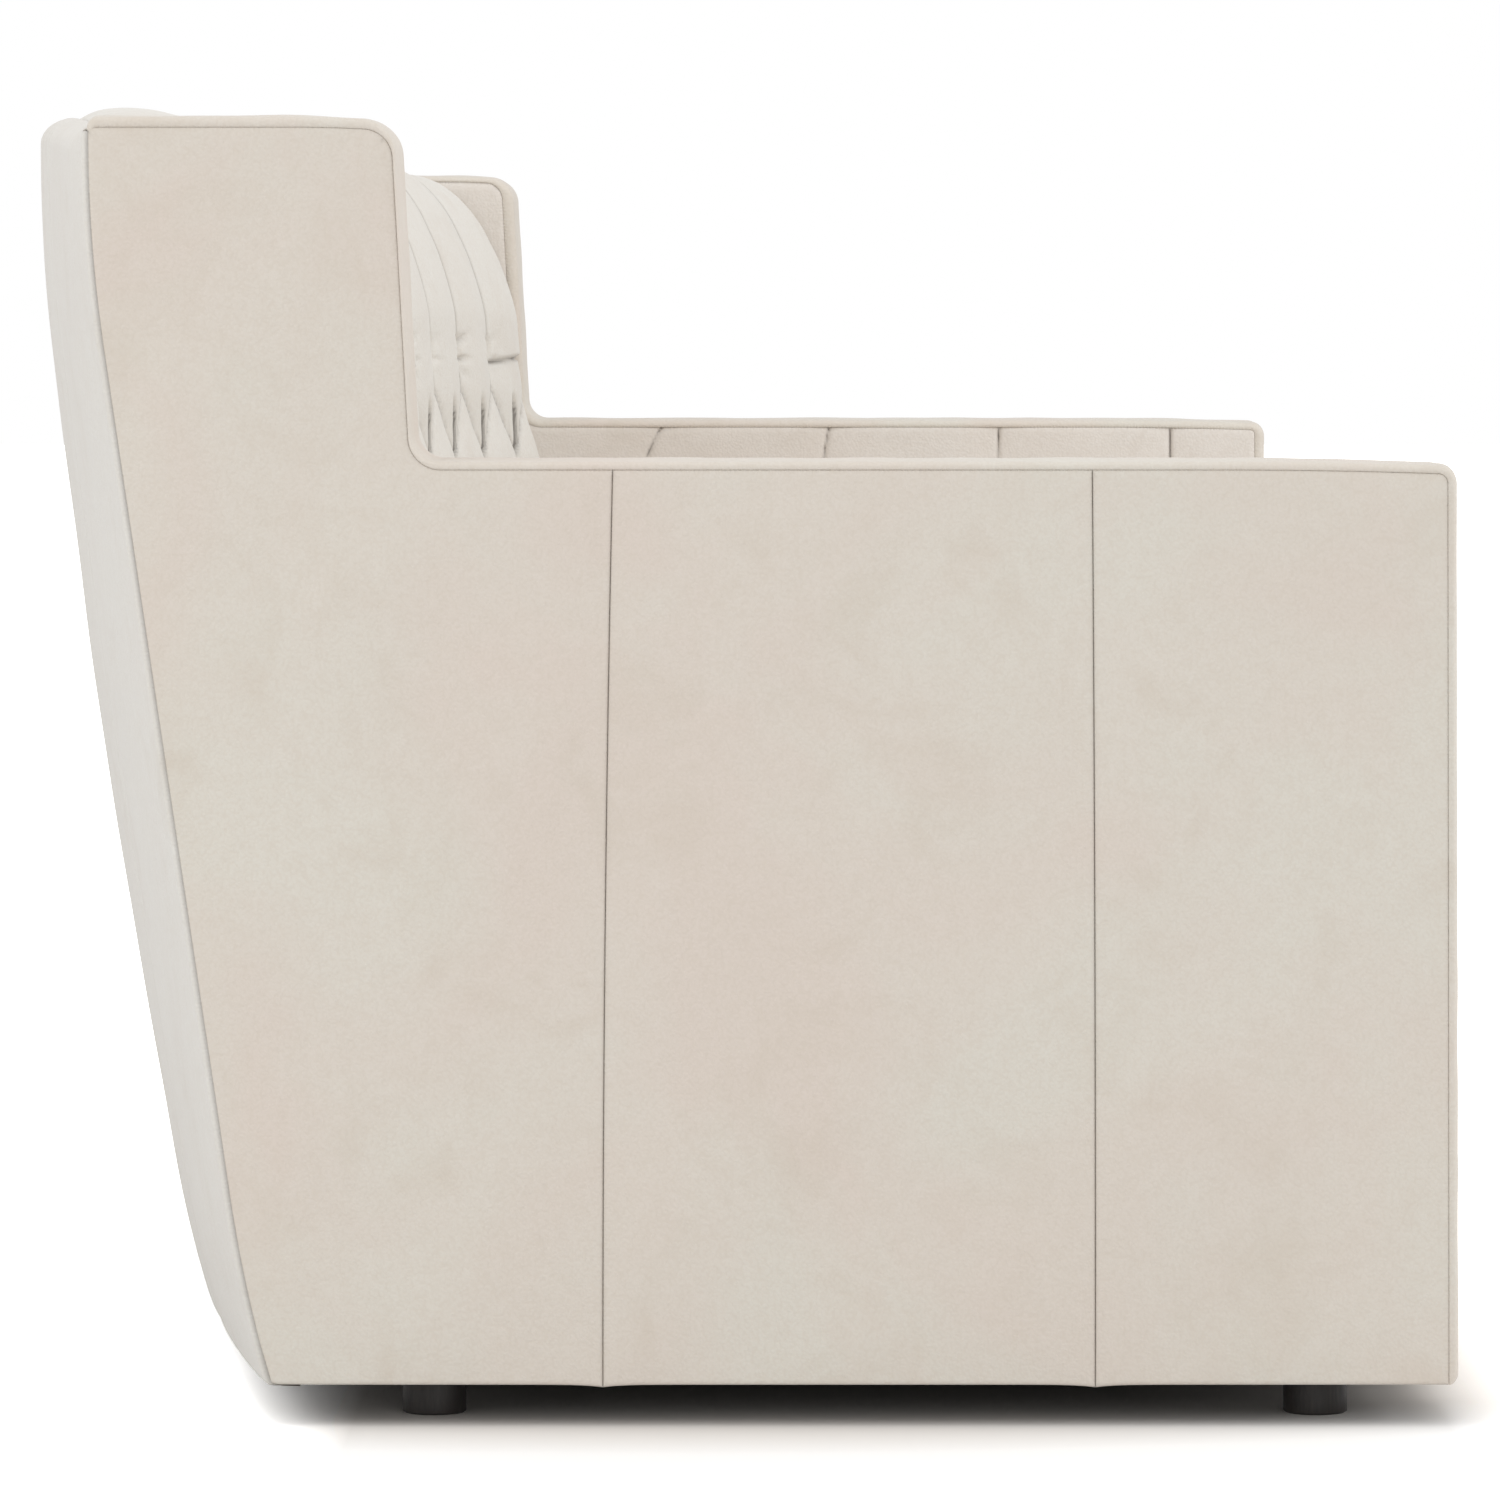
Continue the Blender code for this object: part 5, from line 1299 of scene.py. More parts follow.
@dataclass
class TuftedBack:
    """The inside back: upright rolls over the crest, and diamonds between buttons below.

    The knots are the end profile's distance behind the back's front at the first row, and its
    height above that row.
    """

    finishes: Finishes
    roll_count: int = 13
    depth: float = 0.0085
    fold: Seam = Seam(0.0050, 0.0090, True, 0.0)
    pit: float = 0.0080
    slit: float = 0.0180
    tuck_drop: float = 0.0105
    straight_run: float = 0.032
    slit_lift: float = 0.024
    slit_half: float = 0.018
    pinches: tuple[Triple, ...] = ((0.0065, 0.16, 1.0), (-0.0060, -0.03, 1.0), (-0.0160, -0.22, 0.4))
    spacing: float = 0.096
    rows: int = 4
    thickness: float = 0.034
    crest_reach: float = 0.1160
    half_cells: int = 32
    crest_cells: int = 60
    rear_cells: int = 30
    button_radius: float = 0.0095
    knots: tuple[tuple[float, float], ...] = (
        (-0.0760, -0.3850), (-0.0467, -0.2350), (-0.0250, -0.1550), (-0.0080, -0.0900), (-0.0020, -0.0650),
        (0.0000, -0.0300), (0.0022, -0.0050), (0.0040, 0.0100), (0.0058, 0.0299), (0.0102, 0.0461),
        (0.0165, 0.0642), (0.0238, 0.0823), (0.0310, 0.0959), (0.0392, 0.1112), (0.0491, 0.1247),
        (0.0600, 0.1362), (0.0708, 0.1448), (0.0840, 0.1500), (0.1000, 0.1510), (0.1300, 0.1508),
        (0.1440, 0.1512), (0.1574, 0.1528), (0.1660, 0.1546), (0.1784, 0.1556), (0.1918, 0.1552),
        (0.2010, 0.1540), (0.2070, 0.1520))

    def field(self) -> TuftField:
        """The tufting's pattern."""
        return TuftField(2 * SIZES.inner_half / self.roll_count, SIZES.row_height, self.spacing, self.rows)

    def profile(self) -> tuple[Array, Array, Array, Array]:
        """The end profile from the deck up the front and over the crest to the rear seam.

        Returns:
            y, z, the angle of the outward direction from -Y to +Z, and the share of the way over
            the top to the rear seam.
        """
        end_y = float(SIZES.lining_y(SIZES.inner_half, SIZES.back_edge_height)) - 0.0008 - SIZES.back_front
        knots = [*self.knots, (end_y, SIZES.back_edge_height - 0.0005 - SIZES.row_height)]
        line = smoothed(knots, 0.001, 0.022) + [SIZES.back_front, SIZES.row_height]
        length = travelled(line)
        low = SIZES.row_height - self.spacing * (self.rows - 1)
        lower = np.linspace(SIZES.deck_height, low, 22)[:-1]
        unit = crowded(self.half_cells)[:-1]
        tufts = [low + self.spacing * (row + unit) for row in range(self.rows - 1)]
        rising = int(line[:, 1].argmax())
        heights = np.concatenate([lower, *tufts, [SIZES.row_height]])
        first = np.interp(heights, line[:rising, 1], length[:rising])
        top = float(np.interp(SIZES.back_front + self.crest_reach, line[:, 0], length))
        places = np.concatenate([first, np.linspace(first[-1], top, self.crest_cells + 1)[1:],
                                 np.linspace(top, length[-1], self.rear_cells + 1)[1:]])
        tangent = np.gradient(line, axis=0)
        angle = np.interp(places, length, np.arctan2(tangent[:, 0], tangent[:, 1]))
        rear = np.clip((places - top) / (length[-1] - top), 0, 1)
        return np.interp(places, length, line[:, 0]), np.interp(places, length, line[:, 1]), angle, rear

    def place(self, x: Array, y: Array, z: Array, inset_y: Array, inset_z: Array, rear: Array) -> Array:
        """Points of the end profile, carried to x along the bow and the rising crest."""
        raised = np.clip(z - SIZES.row_height, 0, None) / (SIZES.crest_height - SIZES.row_height)
        lower = 0.2 * (1 - np.clip((y - SIZES.back_front - 0.125) / 0.035, 0, 1))
        lift = SIZES.inner_rise(x) * raised * (1 - lower) + (SIZES.outer_rise(x) - SIZES.inner_rise(x)) * rear**2
        bowed = y + SIZES.bow(x, z) - SIZES.bow(SIZES.inner_half, z) + inset_y
        return np.stack(np.broadcast_arrays(x, bowed, z + lift + inset_z), -1)

    def slit_at(self, side: Array, up: Array) -> tuple[Array, Array]:
        """An upright slit over a lower button: a bell across a leaning line, faded at both ends.

        Args:
            side: Distances from the button along the rows.
            up: Heights above the button.

        Returns:
            How far the slit goes in, and each place's distance from the painted shade inside it.
        """
        over = up - self.slit_lift
        leaning = side + 0.006 * (over / 0.025) ** 2 - 0.003
        beyond = np.clip(np.abs(over) - self.slit_half, 0, None)
        push = self.slit * np.exp(-((leaning / 0.0058) ** 2)) * np.exp(-((beyond / 0.008) ** 2))
        # Painted shade: the distance is taken from 4 mm to the far side of the slit's line, over its inner wall.
        return push, 0.45 * np.clip(np.hypot(leaning - 0.004, beyond) - 0.0055, 0, None)

    def pinches_at(self, side: Array, up: Array, strength: float) -> tuple[Array, Array]:
        """Pinched folds off a first-row button: narrow bells on tilted lines that die out sideways.

        Args:
            side: Distances from the button along the rows.
            up: Heights above the button.
            strength: How deep the folds are.

        Returns:
            How far the folds go in, and each place's distance from their lines of painted shade.
        """
        run, folds, shades = np.abs(side), [], []
        for offset, tilt, weight in self.pinches:
            off = np.abs(up - offset - tilt * run)
            fade = np.clip((run - 0.002) / 0.004, 0, 1) * np.exp(-np.clip(run - 0.020, 0, None) / 0.010)
            fade = fade * weight
            folds.append(strength * np.exp(-((off / 0.0022) ** 2)) * fade)
            # Painted shade along each fold's line, fainter where the fold dies out.
            shades.append(0.5 * off + 0.0004 + 0.003 * (1 - fade * strength / 0.0063))
        return sum(folds), np.minimum.reduce(shades)

    def inset(self, x: Array, z: Array, rear: Array) -> tuple[Array, Array]:
        """How deep each place lies under the pillows' tops, and how far it is from a line of painted shade.

        A pillow is an arch over its fullness, and its edges roll into the creases. A round pit
        and an upright slit go in at each button, pinched folds run off the first row's buttons,
        and a level tuck runs from its last buttons to the wings.

        Args:
            x: Places along the width.
            z: Heights of the end profile.
            rear: The share of the way over the top.

        Returns:
            The insets, and the distances.
        """
        pattern = self.field()
        across = x + SIZES.inner_half
        share = np.clip(1 - 0.75 * rear, 0, 1) * np.clip(1 - 3.4 * (z - SIZES.row_height), 0.5, 1)
        second = SIZES.row_height - self.spacing
        level = np.where(z > second, second + self.spacing / (self.spacing - self.straight_run) * (z - second), z)
        level = np.minimum(level, SIZES.row_height + np.clip(z - SIZES.row_height, 0, None))
        crease = pattern.crease(across, level)
        depth = self.depth * (1 - pattern.fullness(across, level) ** 0.5) + self.fold.roll(crease)
        # Painted shade along the creases, kept off the rear of the crest.
        dark = 0.45 * np.clip(crease - 0.0016, 0, None) + 0.0001 + 0.0008 * rear
        depth = depth * share
        for centre_across, centre_height, row in pattern.buttons(2 * SIZES.inner_half):
            near = np.abs(across[:, 0] - centre_across) < 0.045
            side, up = across[near] - centre_across, z - centre_height
            reach = np.hypot(side, up)
            push = self.pit * np.exp(-((reach / 0.011) ** 4))
            if row > 0:
                folds, shade = self.slit_at(side, up)
            else:
                order = round((SIZES.inner_half - abs(centre_across - SIZES.inner_half)) / pattern.pitch) - 1
                folds, shade = self.pinches_at(side, up, 0.0018 + 0.0045 * (order % 2))
            # Painted shade in the slits and along the pinched folds.
            dark[near] = np.minimum(dark[near], shade)
            depth[near] = depth[near] + (push + folds)
        from_wing = SIZES.inner_half - np.abs(x)
        edge = 1 - np.clip(from_wing / 0.026, 0, 1)
        depth = depth + 0.010 * (1 - np.sqrt(1 - edge**2)) * share
        below = SIZES.row_height - self.tuck_drop + 0.03 * np.clip(pattern.pitch - from_wing, 0, None) - z
        near = np.clip((1.02 - from_wing / pattern.pitch) * 14, 0, 1)
        tuck = 0.0048 * np.exp(-((below / 0.0017) ** 2))
        tuck = tuck + 0.0034 * np.exp(-np.clip(below, 0, None) / 0.024) * (below > 0)
        # Painted shade along the tuck by the wings.
        dark = np.minimum(dark, 0.5 * np.abs(below) + 0.0001 + 0.01 * (1 - near))
        return depth + tuck * near, dark

    def build(self) -> None:
        """Make the cover with its padding, and the covered buttons."""
        reach = SIZES.inner_half - SIZES.gap
        unit = crowded(self.half_cells)[:-1]
        x = np.concatenate([*(number + unit for number in range(2 * self.roll_count)), [2 * self.roll_count]])
        x = (reach * (x / self.roll_count - 1))[:, None]
        y, z, angle, rear = (values[None] for values in self.profile())
        inset, dark = self.inset(x, z, rear)
        front = self.place(x, y, z, inset * np.cos(angle), -inset * np.sin(angle), rear)
        top = SIZES.crest_height - self.thickness
        slope = math.tan(SIZES.seat_rake) * (SIZES.row_height - SIZES.deck_height)
        bend_y, end_y = SIZES.back_front + self.thickness + 0.010, SIZES.back_front + self.crest_reach
        run = end_y - bend_y
        back = float(SIZES.lining_y(SIZES.inner_half, top)) - 0.0008
        lining = np.array([[bend_y - slope, SIZES.deck_height], [bend_y, SIZES.row_height],
                           [bend_y + 0.575 * run, top - 0.08 * run], [end_y, top], [back, top]])
        hidden = self.place(x, lining[None, :, 0], lining[None, :, 1], 0.0, 0.0, np.zeros((1, 5)))
        rows, cells = front.shape[1], hidden.shape[1]
        count = front.shape[0] * rows
        near = np.arange(count).reshape(-1, rows)
        far = count + np.arange(hidden.shape[0] * cells).reshape(-1, cells)
        quads = np.concatenate([
            self.split_quads(near, inset),
            (count + grid_quads(hidden.shape[0], cells))[:, ::-1],
            np.stack([near[1:, 0], near[:-1, 0], far[:-1, 0], far[1:, 0]], 1),
            np.stack([near[:-1, -1], near[1:, -1], far[1:, -1], far[:-1, -1]], 1),
        ])
        caps = [np.concatenate([near[0], far[0, ::-1]]), np.concatenate([near[-1], far[-1, ::-1]])[::-1]]
        seam = coordinates(0.0, FAR, dark).reshape(-1, 4)
        seam = np.concatenate([seam, np.tile([0.0, FAR, FAR, 0.0], (hidden.shape[0] * cells, 1))])
        points = np.concatenate([front.reshape(-1, 3), hidden.reshape(-1, 3)])
        piece = Surface(points, quads, caps, seam).outwards().build("tufted_back", self.finishes.tufted, 80)
        dress(piece, "sofa_frame", ["inside_back_cover", "inside_back_foam"])
        self.add_buttons()

    def split_quads(self, index: Array, inset: Array) -> Array:
        """Quads of the tufted face, started so that a crease runs along their first diagonal.

        Args:
            index: The points' numbers, columns by rows.
            inset: The points' depths.

        Returns:
            Quads whose first diagonal joins the deeper pair of corners.
        """
        a, b, c, d = index[:-1, :-1], index[1:, :-1], index[1:, 1:], index[:-1, 1:]
        along = inset[:-1, :-1] + inset[1:, 1:] > inset[1:, :-1] + inset[:-1, 1:]
        first = np.stack([a, b, c, d], 2)
        second = np.stack([b, c, d, a], 2)
        return np.where(along[..., None], first, second).reshape(-1, 4)

    def add_buttons(self) -> None:
        """Covered buttons at the bottom of their pits, turned to the sitter."""
        places = self.field().buttons(2 * SIZES.inner_half)
        x, z = places[:, 0] - SIZES.inner_half, places[:, 1]
        line_y, line_z, _, _ = self.profile()
        rising = int(line_z.argmax())
        y = np.interp(z, line_z[:rising], line_y[:rising])
        deep = np.full_like(x, self.depth + self.fold.depth + self.pit * 0.75)
        centre = self.place(x, y, z, deep, 0.0, np.zeros_like(x))
        slope = (SIZES.bow(x + 0.01, z) - SIZES.bow(x - 0.01, z)) / 0.02
        normal = np.stack([slope, -np.ones_like(x), np.full_like(x, math.tan(SIZES.seat_rake))], 1)
        normal /= np.linalg.norm(normal, axis=1, keepdims=True)
        piece = domes(centre, normal, self.button_radius, 0.0050).build("back_buttons", self.finishes.tufted)
        dress(piece, "sofa_frame", [])


@dataclass
class InnerSide:
    """The inner cover of an arm and its wing, pleated along the arm."""

    side: Side
    finishes: Finishes
    thickness: float = 0.013
    pleat_first: float = 0.087
    pleat_pitch: float = 0.156
    pleat_count: int = 4
    tuft_drop: float = 0.080
    tuft_spacing: float = 0.078
    pleat: Seam = Seam(0.0034, 0.0040, True, 0.0002)
    pillow: float = 0.0022
    pit: float = 0.0060
    waviness: float = 0.0006
    fan_bend: float = 0.050
    rear_setback: float = 0.027

    def rear(self, height: Array) -> Array:
        """The cover's rear edge, behind the tufted back's front."""
        return SIZES.lining_y(SIZES.inner_half, height) - self.rear_setback

    def layout(self) -> tuple[Array, Array, Array, Array]:
        """The cover's edges: arm top and wing front, deck and rear, arm front, and wing top."""
        _, front_arc, foot_arc, wing_arc, _ = side_arcs(INSETS.inner, SIZES.gap)
        middle, deck = len(front_arc) // 2, SIZES.deck_height
        arm_cells, fan, wing_cells = 330, 60, 44
        share = (deck - SIZES.clearance) / (SIZES.arm_height - SIZES.clearance)
        front_foot = np.array([front_arc[0, 0] - SIZES.front_lean * (1 - share), deck])
        arm = np.concatenate([front_arc[middle:], foot_arc[:1]])
        lead = seam_shares(float(foot_arc[0, 0] - front_arc[middle, 0]), arm_cells)[: arm_cells + 9]
        arm = resample(arm, lead / lead[-1])
        below = front_foot + (np.array([foot_arc[0, 0], deck]) - front_foot) * (lead / lead[-1])[:, None]
        rise = np.linspace(deck, foot_arc[-1, 1], fan // 2 + 1)
        corner = np.concatenate([np.linspace(below[-1], [float(self.rear(deck)), deck], fan // 2 + 1),
                                 np.stack([self.rear(rise), rise], 1)[1:]])
        wing_top = SIZES.wing_height - INSETS.inner[3] - SIZES.gap
        climb = np.linspace(rise[-1], wing_top, wing_cells)
        wing = np.concatenate([np.linspace(foot_arc[-1], wing_arc[0], 20)[:-1], wing_arc[: middle + 1]])
        near = np.concatenate([arm[:-1], resample(foot_arc, np.linspace(0, 1, fan + 1)),
                               resample(wing, np.linspace(0, 1, wing_cells))[1:]])
        far = np.concatenate([below[:-1], corner, np.stack([self.rear(climb), climb], 1)[1:]])
        first = np.concatenate([front_arc[middle::-1], [front_foot]])
        last = np.concatenate([wing_arc[middle:], [[float(self.rear(wing_top)), wing_top]]])
        return near, far, first, last

    def build(self) -> None:
        """Make the cover: a patch that fans round the wing's foot, with creases pressed in.

        The creases lie half a pitch from the pillows' middles. Their tops lean forward, more so
        towards the wing.
        """
        near, far, first, last = self.layout()
        across = seam_shares(SIZES.arm_height - SIZES.deck_height, 74)
        places = coons(near, far, resample(first, across), resample(last, across), across, length_shares(near))
        kinds = ((near, WELT), (far, HEM), (first, WELT), (last, WELT))
        depth, distance, seam = press(places, kinds)
        y, z = places[..., 0], places[..., 1]
        pattern = TuftField(self.pleat_pitch, SIZES.arm_height - self.tuft_drop, self.tuft_spacing, 2)
        lean = self.fan_bend * np.clip((y - SIZES.front) / self.pleat_pitch / self.pleat_count, 0, 1) ** 3
        drop = np.clip((SIZES.arm_height - z) / self.tuft_drop, 0, 1)
        offset = y - SIZES.front - self.pleat_first - lean * (np.sqrt(drop) - 0.45)
        inside = (offset > -self.pleat_pitch / 2) & (offset < self.pleat_pitch * (self.pleat_count - 0.5))
        crease = np.where(inside, pattern.crease(offset, z), FAR)
        pressed = np.clip(self.pleat.roll(crease), 0, None) + self.pillow * np.exp(-crease / 0.014) * inside
        for row in range(2):
            level = SIZES.arm_height - self.tuft_drop - self.tuft_spacing * row
            shift = self.pleat_pitch / 2 * (row % 2 - 1)
            side = offset - shift - self.pleat_pitch * np.round((offset - shift) / self.pleat_pitch)
            pressed = pressed + self.pit * np.exp(-((side / 0.009) ** 2) - ((z - level) / 0.012) ** 2) * inside
        face = pressed + depth + self.waviness * ripple(y, z, 0.13, 31) * np.clip(distance / 0.02, 0, 1)
        # Painted shade along the pleats' creases as well as the seams.
        seam[..., 2] = np.minimum(seam[..., 2], crease)
        front = settle(np.concatenate([(SIZES.inner_half + face)[..., None], places], 2))
        behind = np.full_like(face, SIZES.inner_half + self.thickness)[..., None]
        hidden = settle(np.concatenate([behind, places], 2))
        surface = slab(front, hidden, seam)
        name = f"{self.side.label}_inner_arm_and_wing"
        piece = surface.mirrored(self.side).build(name, self.finishes.inner, 70)
        label = self.side.label
        dress(piece, "sofa_frame", [f"{label}_inner_side_cover", f"{label}_arm_foam"])


@dataclass
class SeatCushion:
    """A loose boxed seat cushion, blown up by a cloth simulation and sewn along its edges."""

    side: Side
    finishes: Finishes
    plan: tuple[float, float] = (1.01, 0.60)
    thickness: float = 0.146
    crown: float = 0.014
    bulge: float = 0.007
    pull: float = 0.005
    clearance: float = 0.006
    split: float = 0.004
    front_setback: float = 0.002
    shrink: float = 0.004
    cell: float = 0.0095
    cap: float = 0.009
    pressure: float = 4.0
    frames: int = 20

    def counts(self) -> tuple[int, int, int]:
        """Cells along the width, the depth and the height."""
        return tuple(round(length / self.cell) for length in (*self.plan, self.thickness))

    def shape(self, shares: Array) -> Array:
        """The closed crowned form at shares of its box.

        The sides swell between the seams and are drawn in between the corners, the top is crowned
        by a product of two fourth powers, and the rear follows the bow of the back.

        Args:
            shares: Shares (x, y, z) of the box.

        Returns:
            Points on the +X side.
        """
        sx, sy, sz = shares.T
        inner, outer = self.split / 2 + self.shrink, SIZES.inner_half - self.clearance - self.shrink
        ox, oy = 2 * sx - 1, 2 * sy - 1
        swell = self.bulge * (1 - 4 * sz * (1 - sz))
        x = inner + (outer - inner) * sx - (self.pull * (1 - oy**2) + swell) * ox**5
        front = SIZES.front + self.front_setback + self.shrink
        foot = SIZES.back_front - math.tan(SIZES.seat_rake) * (SIZES.row_height - SIZES.deck_height)
        rear = foot + SIZES.bow(x, SIZES.deck_height) - SIZES.bow(SIZES.inner_half, SIZES.deck_height)
        rear = rear - self.clearance - self.shrink
        y = front + (rear - front) * sy - (self.pull * (1 - ox**2) + swell) * oy**5
        crown = self.crown * (1 - ox**4) * (1 - oy**4) * sz
        base = SIZES.deck_height + SIZES.gap
        z = base + (self.thickness - self.crown) * sz + crown
        return np.stack([x, y, z], 1)

    def lattice(self) -> tuple[Array, Array]:
        """The whole-number places on a box's surface, and its quads.

        Returns:
            Places (i, j, k) once each, and quads of their numbers.
        """
        counts = self.counts()
        corners = []
        for axis in range(3):
            first, second = [n for n in range(3) if n != axis]
            a, b = np.meshgrid(np.arange(counts[first]), np.arange(counts[second]), indexing="ij")
            for level in (0, counts[axis]):
                ring = []
                for step_a, step_b in ((0, 0), (1, 0), (1, 1), (0, 1)):
                    key = np.zeros((a.size, 3), int)
                    key[:, axis], key[:, first], key[:, second] = level, a.ravel() + step_a, b.ravel() + step_b
                    ring.append(key)
                face = np.stack(ring, 1)
                corners.append(face[:, ::-1] if (level == 0) != (axis == 1) else face)
        keys = np.concatenate(corners).reshape(-1, 3)
        places, numbers = np.unique(keys, axis=0, return_inverse=True)
        return places, numbers.reshape(-1, 4)

    def inflate(self, piece: bpy.types.Object, rest: Array) -> Array:
        """Run the cloth under pressure and cap how far each point moves.

        Args:
            piece: The cushion's object, whose seams are pinned softly.
            rest: The points before the run.

        Returns:
            The capped points, clear of the deck.
        """
        cloth = piece.modifiers.new("cloth", "CLOTH")
        settings = {"quality": 4, "mass": 0.25, "tension_stiffness": 12, "compression_stiffness": 12,
                    "shear_stiffness": 4, "bending_stiffness": 0.4, "shrink_min": -0.012, "use_pressure": True,
                    "uniform_pressure_force": self.pressure, "vertex_group_mass": "seams", "pin_stiffness": 1.0}
        for key, value in settings.items():
            setattr(cloth.settings, key, value)
        cloth.settings.effector_weights.gravity = 0
        cloth.collision_settings.use_collision = False
        scene = bpy.context.scene
        for number in range(1, self.frames + 1):
            scene.frame_set(number)
        baked = piece.evaluated_get(bpy.context.evaluated_depsgraph_get()).to_mesh()
        moved = np.empty(len(rest) * 3, np.float32)
        baked.vertices.foreach_get("co", moved)
        piece.evaluated_get(bpy.context.evaluated_depsgraph_get()).to_mesh_clear()
        piece.modifiers.remove(cloth)
        scene.frame_set(1)
        shift = moved.reshape(-1, 3) - rest
        far = np.linalg.norm(shift, axis=1, keepdims=True)
        shift *= np.minimum(1, self.cap / np.maximum(far, 1e-9))
        return rest + shift

    def build(self) -> None:
        """Make the cushion, with its seams laid on before the simulation and pinned softly through it."""
        places, quads = self.lattice()
        counts = np.array(self.counts())
        shares = places / counts
        rest = self.shape(shares) * [self.side.value, 1, 1]
        label = self.side.label
        name = f"{label}_seat_cushion"
        surface = Surface(rest, quads).outwards()
        top, foot = places[:, 2] == counts[2], places[:, 2] == 0
        ends = (places == 0) | (places == counts)
        rim = ends[:, 0] | ends[:, 1]
        seams = (top | foot) & rim
        size = np.array([*self.plan, self.thickness])
        inwards = np.minimum(places, counts - places) / counts * size
        level = np.where(top | foot, 0.0, inwards[:, 2])
        inwards_flat = np.where(rim, 0.0, np.minimum(inwards[:, 0], inwards[:, 1]))
        distance = level + inwards_flat
        lengthwise = np.where(ends[:, 0], shares[:, 1] * size[1], shares[:, 0] * size[0])
        # Painted shade along the seams round the top and the bottom.
        surface.seam = coordinates(lengthwise, distance, distance + 0.0005)
        piece = surface.build(name, self.finishes.seat, 80)
        group = piece.vertex_groups.new(name="seams")
        group.add([int(n) for n in np.flatnonzero(seams)], 1.0, "REPLACE")
        group.add([int(n) for n in np.flatnonzero(foot & ~rim)], 0.9, "REPLACE")
        points = self.inflate(piece, rest)
        points = self.clear(points, seams)
        piece.data.vertices.foreach_set("co", points.astype(np.float32).reshape(-1))
        piece.data.update()
        smooth = piece.modifiers.new("smooth", "SUBSURF")
        smooth.levels = smooth.render_levels = 1
        nodes = [f"{label}_seat_cushion_{part}" for part in ("casing", "core", "zip")]
        dress(piece, f"{label}_seat_cushion", nodes)

    def clear(self, points: Array, seams: Array) -> Array:
        """Keep the cushion between its neighbours, and flat on the deck.

        Args:
            points: The cushion's points.
            seams: True for each point on a seam. Not used.

        Returns:
            The corrected points.
        """
        x = np.clip(points[:, 0] * self.side.value, self.split / 2, SIZES.inner_half - self.clearance / 3)
        y = np.maximum(points[:, 1], SIZES.front - 0.004)
        z = np.maximum(points[:, 2], SIZES.deck_height + SIZES.gap)
        return np.stack([x * self.side.value, y, z], 1)


@dataclass
class SeatBase:
    """The leather border under the cushions, and the deck that they lie on."""

    finishes: Finishes
    border_setback: float = 0.006
    border_thickness: float = 0.012
    panels: int = 6
    deck_thickness: float = 0.0306
    crown: float = 0.002
    deck_overlap: float = 0.0403
    deck_rear_gap: float = 0.0258

    def border(self) -> None:
        """The front border: panels between upright seams, rolled in at every edge."""
        reach = SIZES.inner_half - SIZES.gap
        width = 2 * reach / self.panels
        unit = seam_shares(width, 26)
        x = np.concatenate([-reach + width * (number + unit[:-1]) for number in range(self.panels)] + [[reach]])
        height = SIZES.deck_height - SIZES.clearance - SIZES.gap
        z = SIZES.clearance + height * seam_shares(height, 26)
        grid_x, grid_z = np.meshgrid(x, z, indexing="ij")
        phase = (grid_x + reach) / width
        from_seam = np.abs(phase - np.round(phase)) * width
        from_edge = np.minimum(grid_z - z[0], z[-1] - grid_z)
        distance = np.minimum(from_seam, from_edge)
        face = self.crown * (1 - np.exp(-distance / 0.02))
        face += 0.0005 * ripple(grid_x, grid_z, 0.15, 41) * np.clip(distance / 0.02, 0, 1)
        face -= JOIN.roll(from_seam) + HEM.roll(from_edge)
        y = SIZES.front + self.border_setback - face
        front = np.stack([grid_x, y, grid_z], 2)
        behind = np.full_like(y, SIZES.front + self.border_setback + self.border_thickness)
        rear = np.stack([grid_x, behind, grid_z], 2)
        along = np.where(from_seam < from_edge, grid_z, grid_x)
        # Painted shade along the upright seams.
        surface = slab(front, rear, coordinates(along, distance, from_seam)).outwards()
        piece = surface.build("front_border", self.finishes.seat)
        dress(piece, "sofa_frame", ["front_border_cover"])

    def deck(self) -> None:
        """The deck: a level padded sheet whose rear follows the bow."""
        reach = SIZES.inner_half + self.deck_overlap
        x = np.linspace(-reach, reach, 121)
        front_y = SIZES.front + self.border_setback + self.border_thickness + SIZES.gap
        low = SIZES.deck_height - SIZES.gap - self.deck_thickness
        rear_y = SIZES.lining_y(x, low) - self.deck_rear_gap - SIZES.gap
        shares = seam_shares(0.62, 40)
        y = front_y + (rear_y - front_y)[:, None] * shares[None]
        grid_x = np.broadcast_to(x[:, None], y.shape)
        distance = np.minimum(y - front_y, rear_y[:, None] - y)
        drop = np.clip(HEM.roll(distance), 0, None) + 0.0004 * (1 + ripple(grid_x, y, 0.2, 43))
        top = np.stack([grid_x, y, SIZES.deck_height - SIZES.gap - drop], 2)
        foot = np.stack([grid_x, y, np.full_like(y, low)], 2)
        surface = slab(top, foot, coordinates(grid_x, distance, FAR)).outwards()
        piece = surface.build("deck_platform", self.finishes.seat)
        dress(piece, "sofa_frame", ["deck_cover", "deck_pad"])


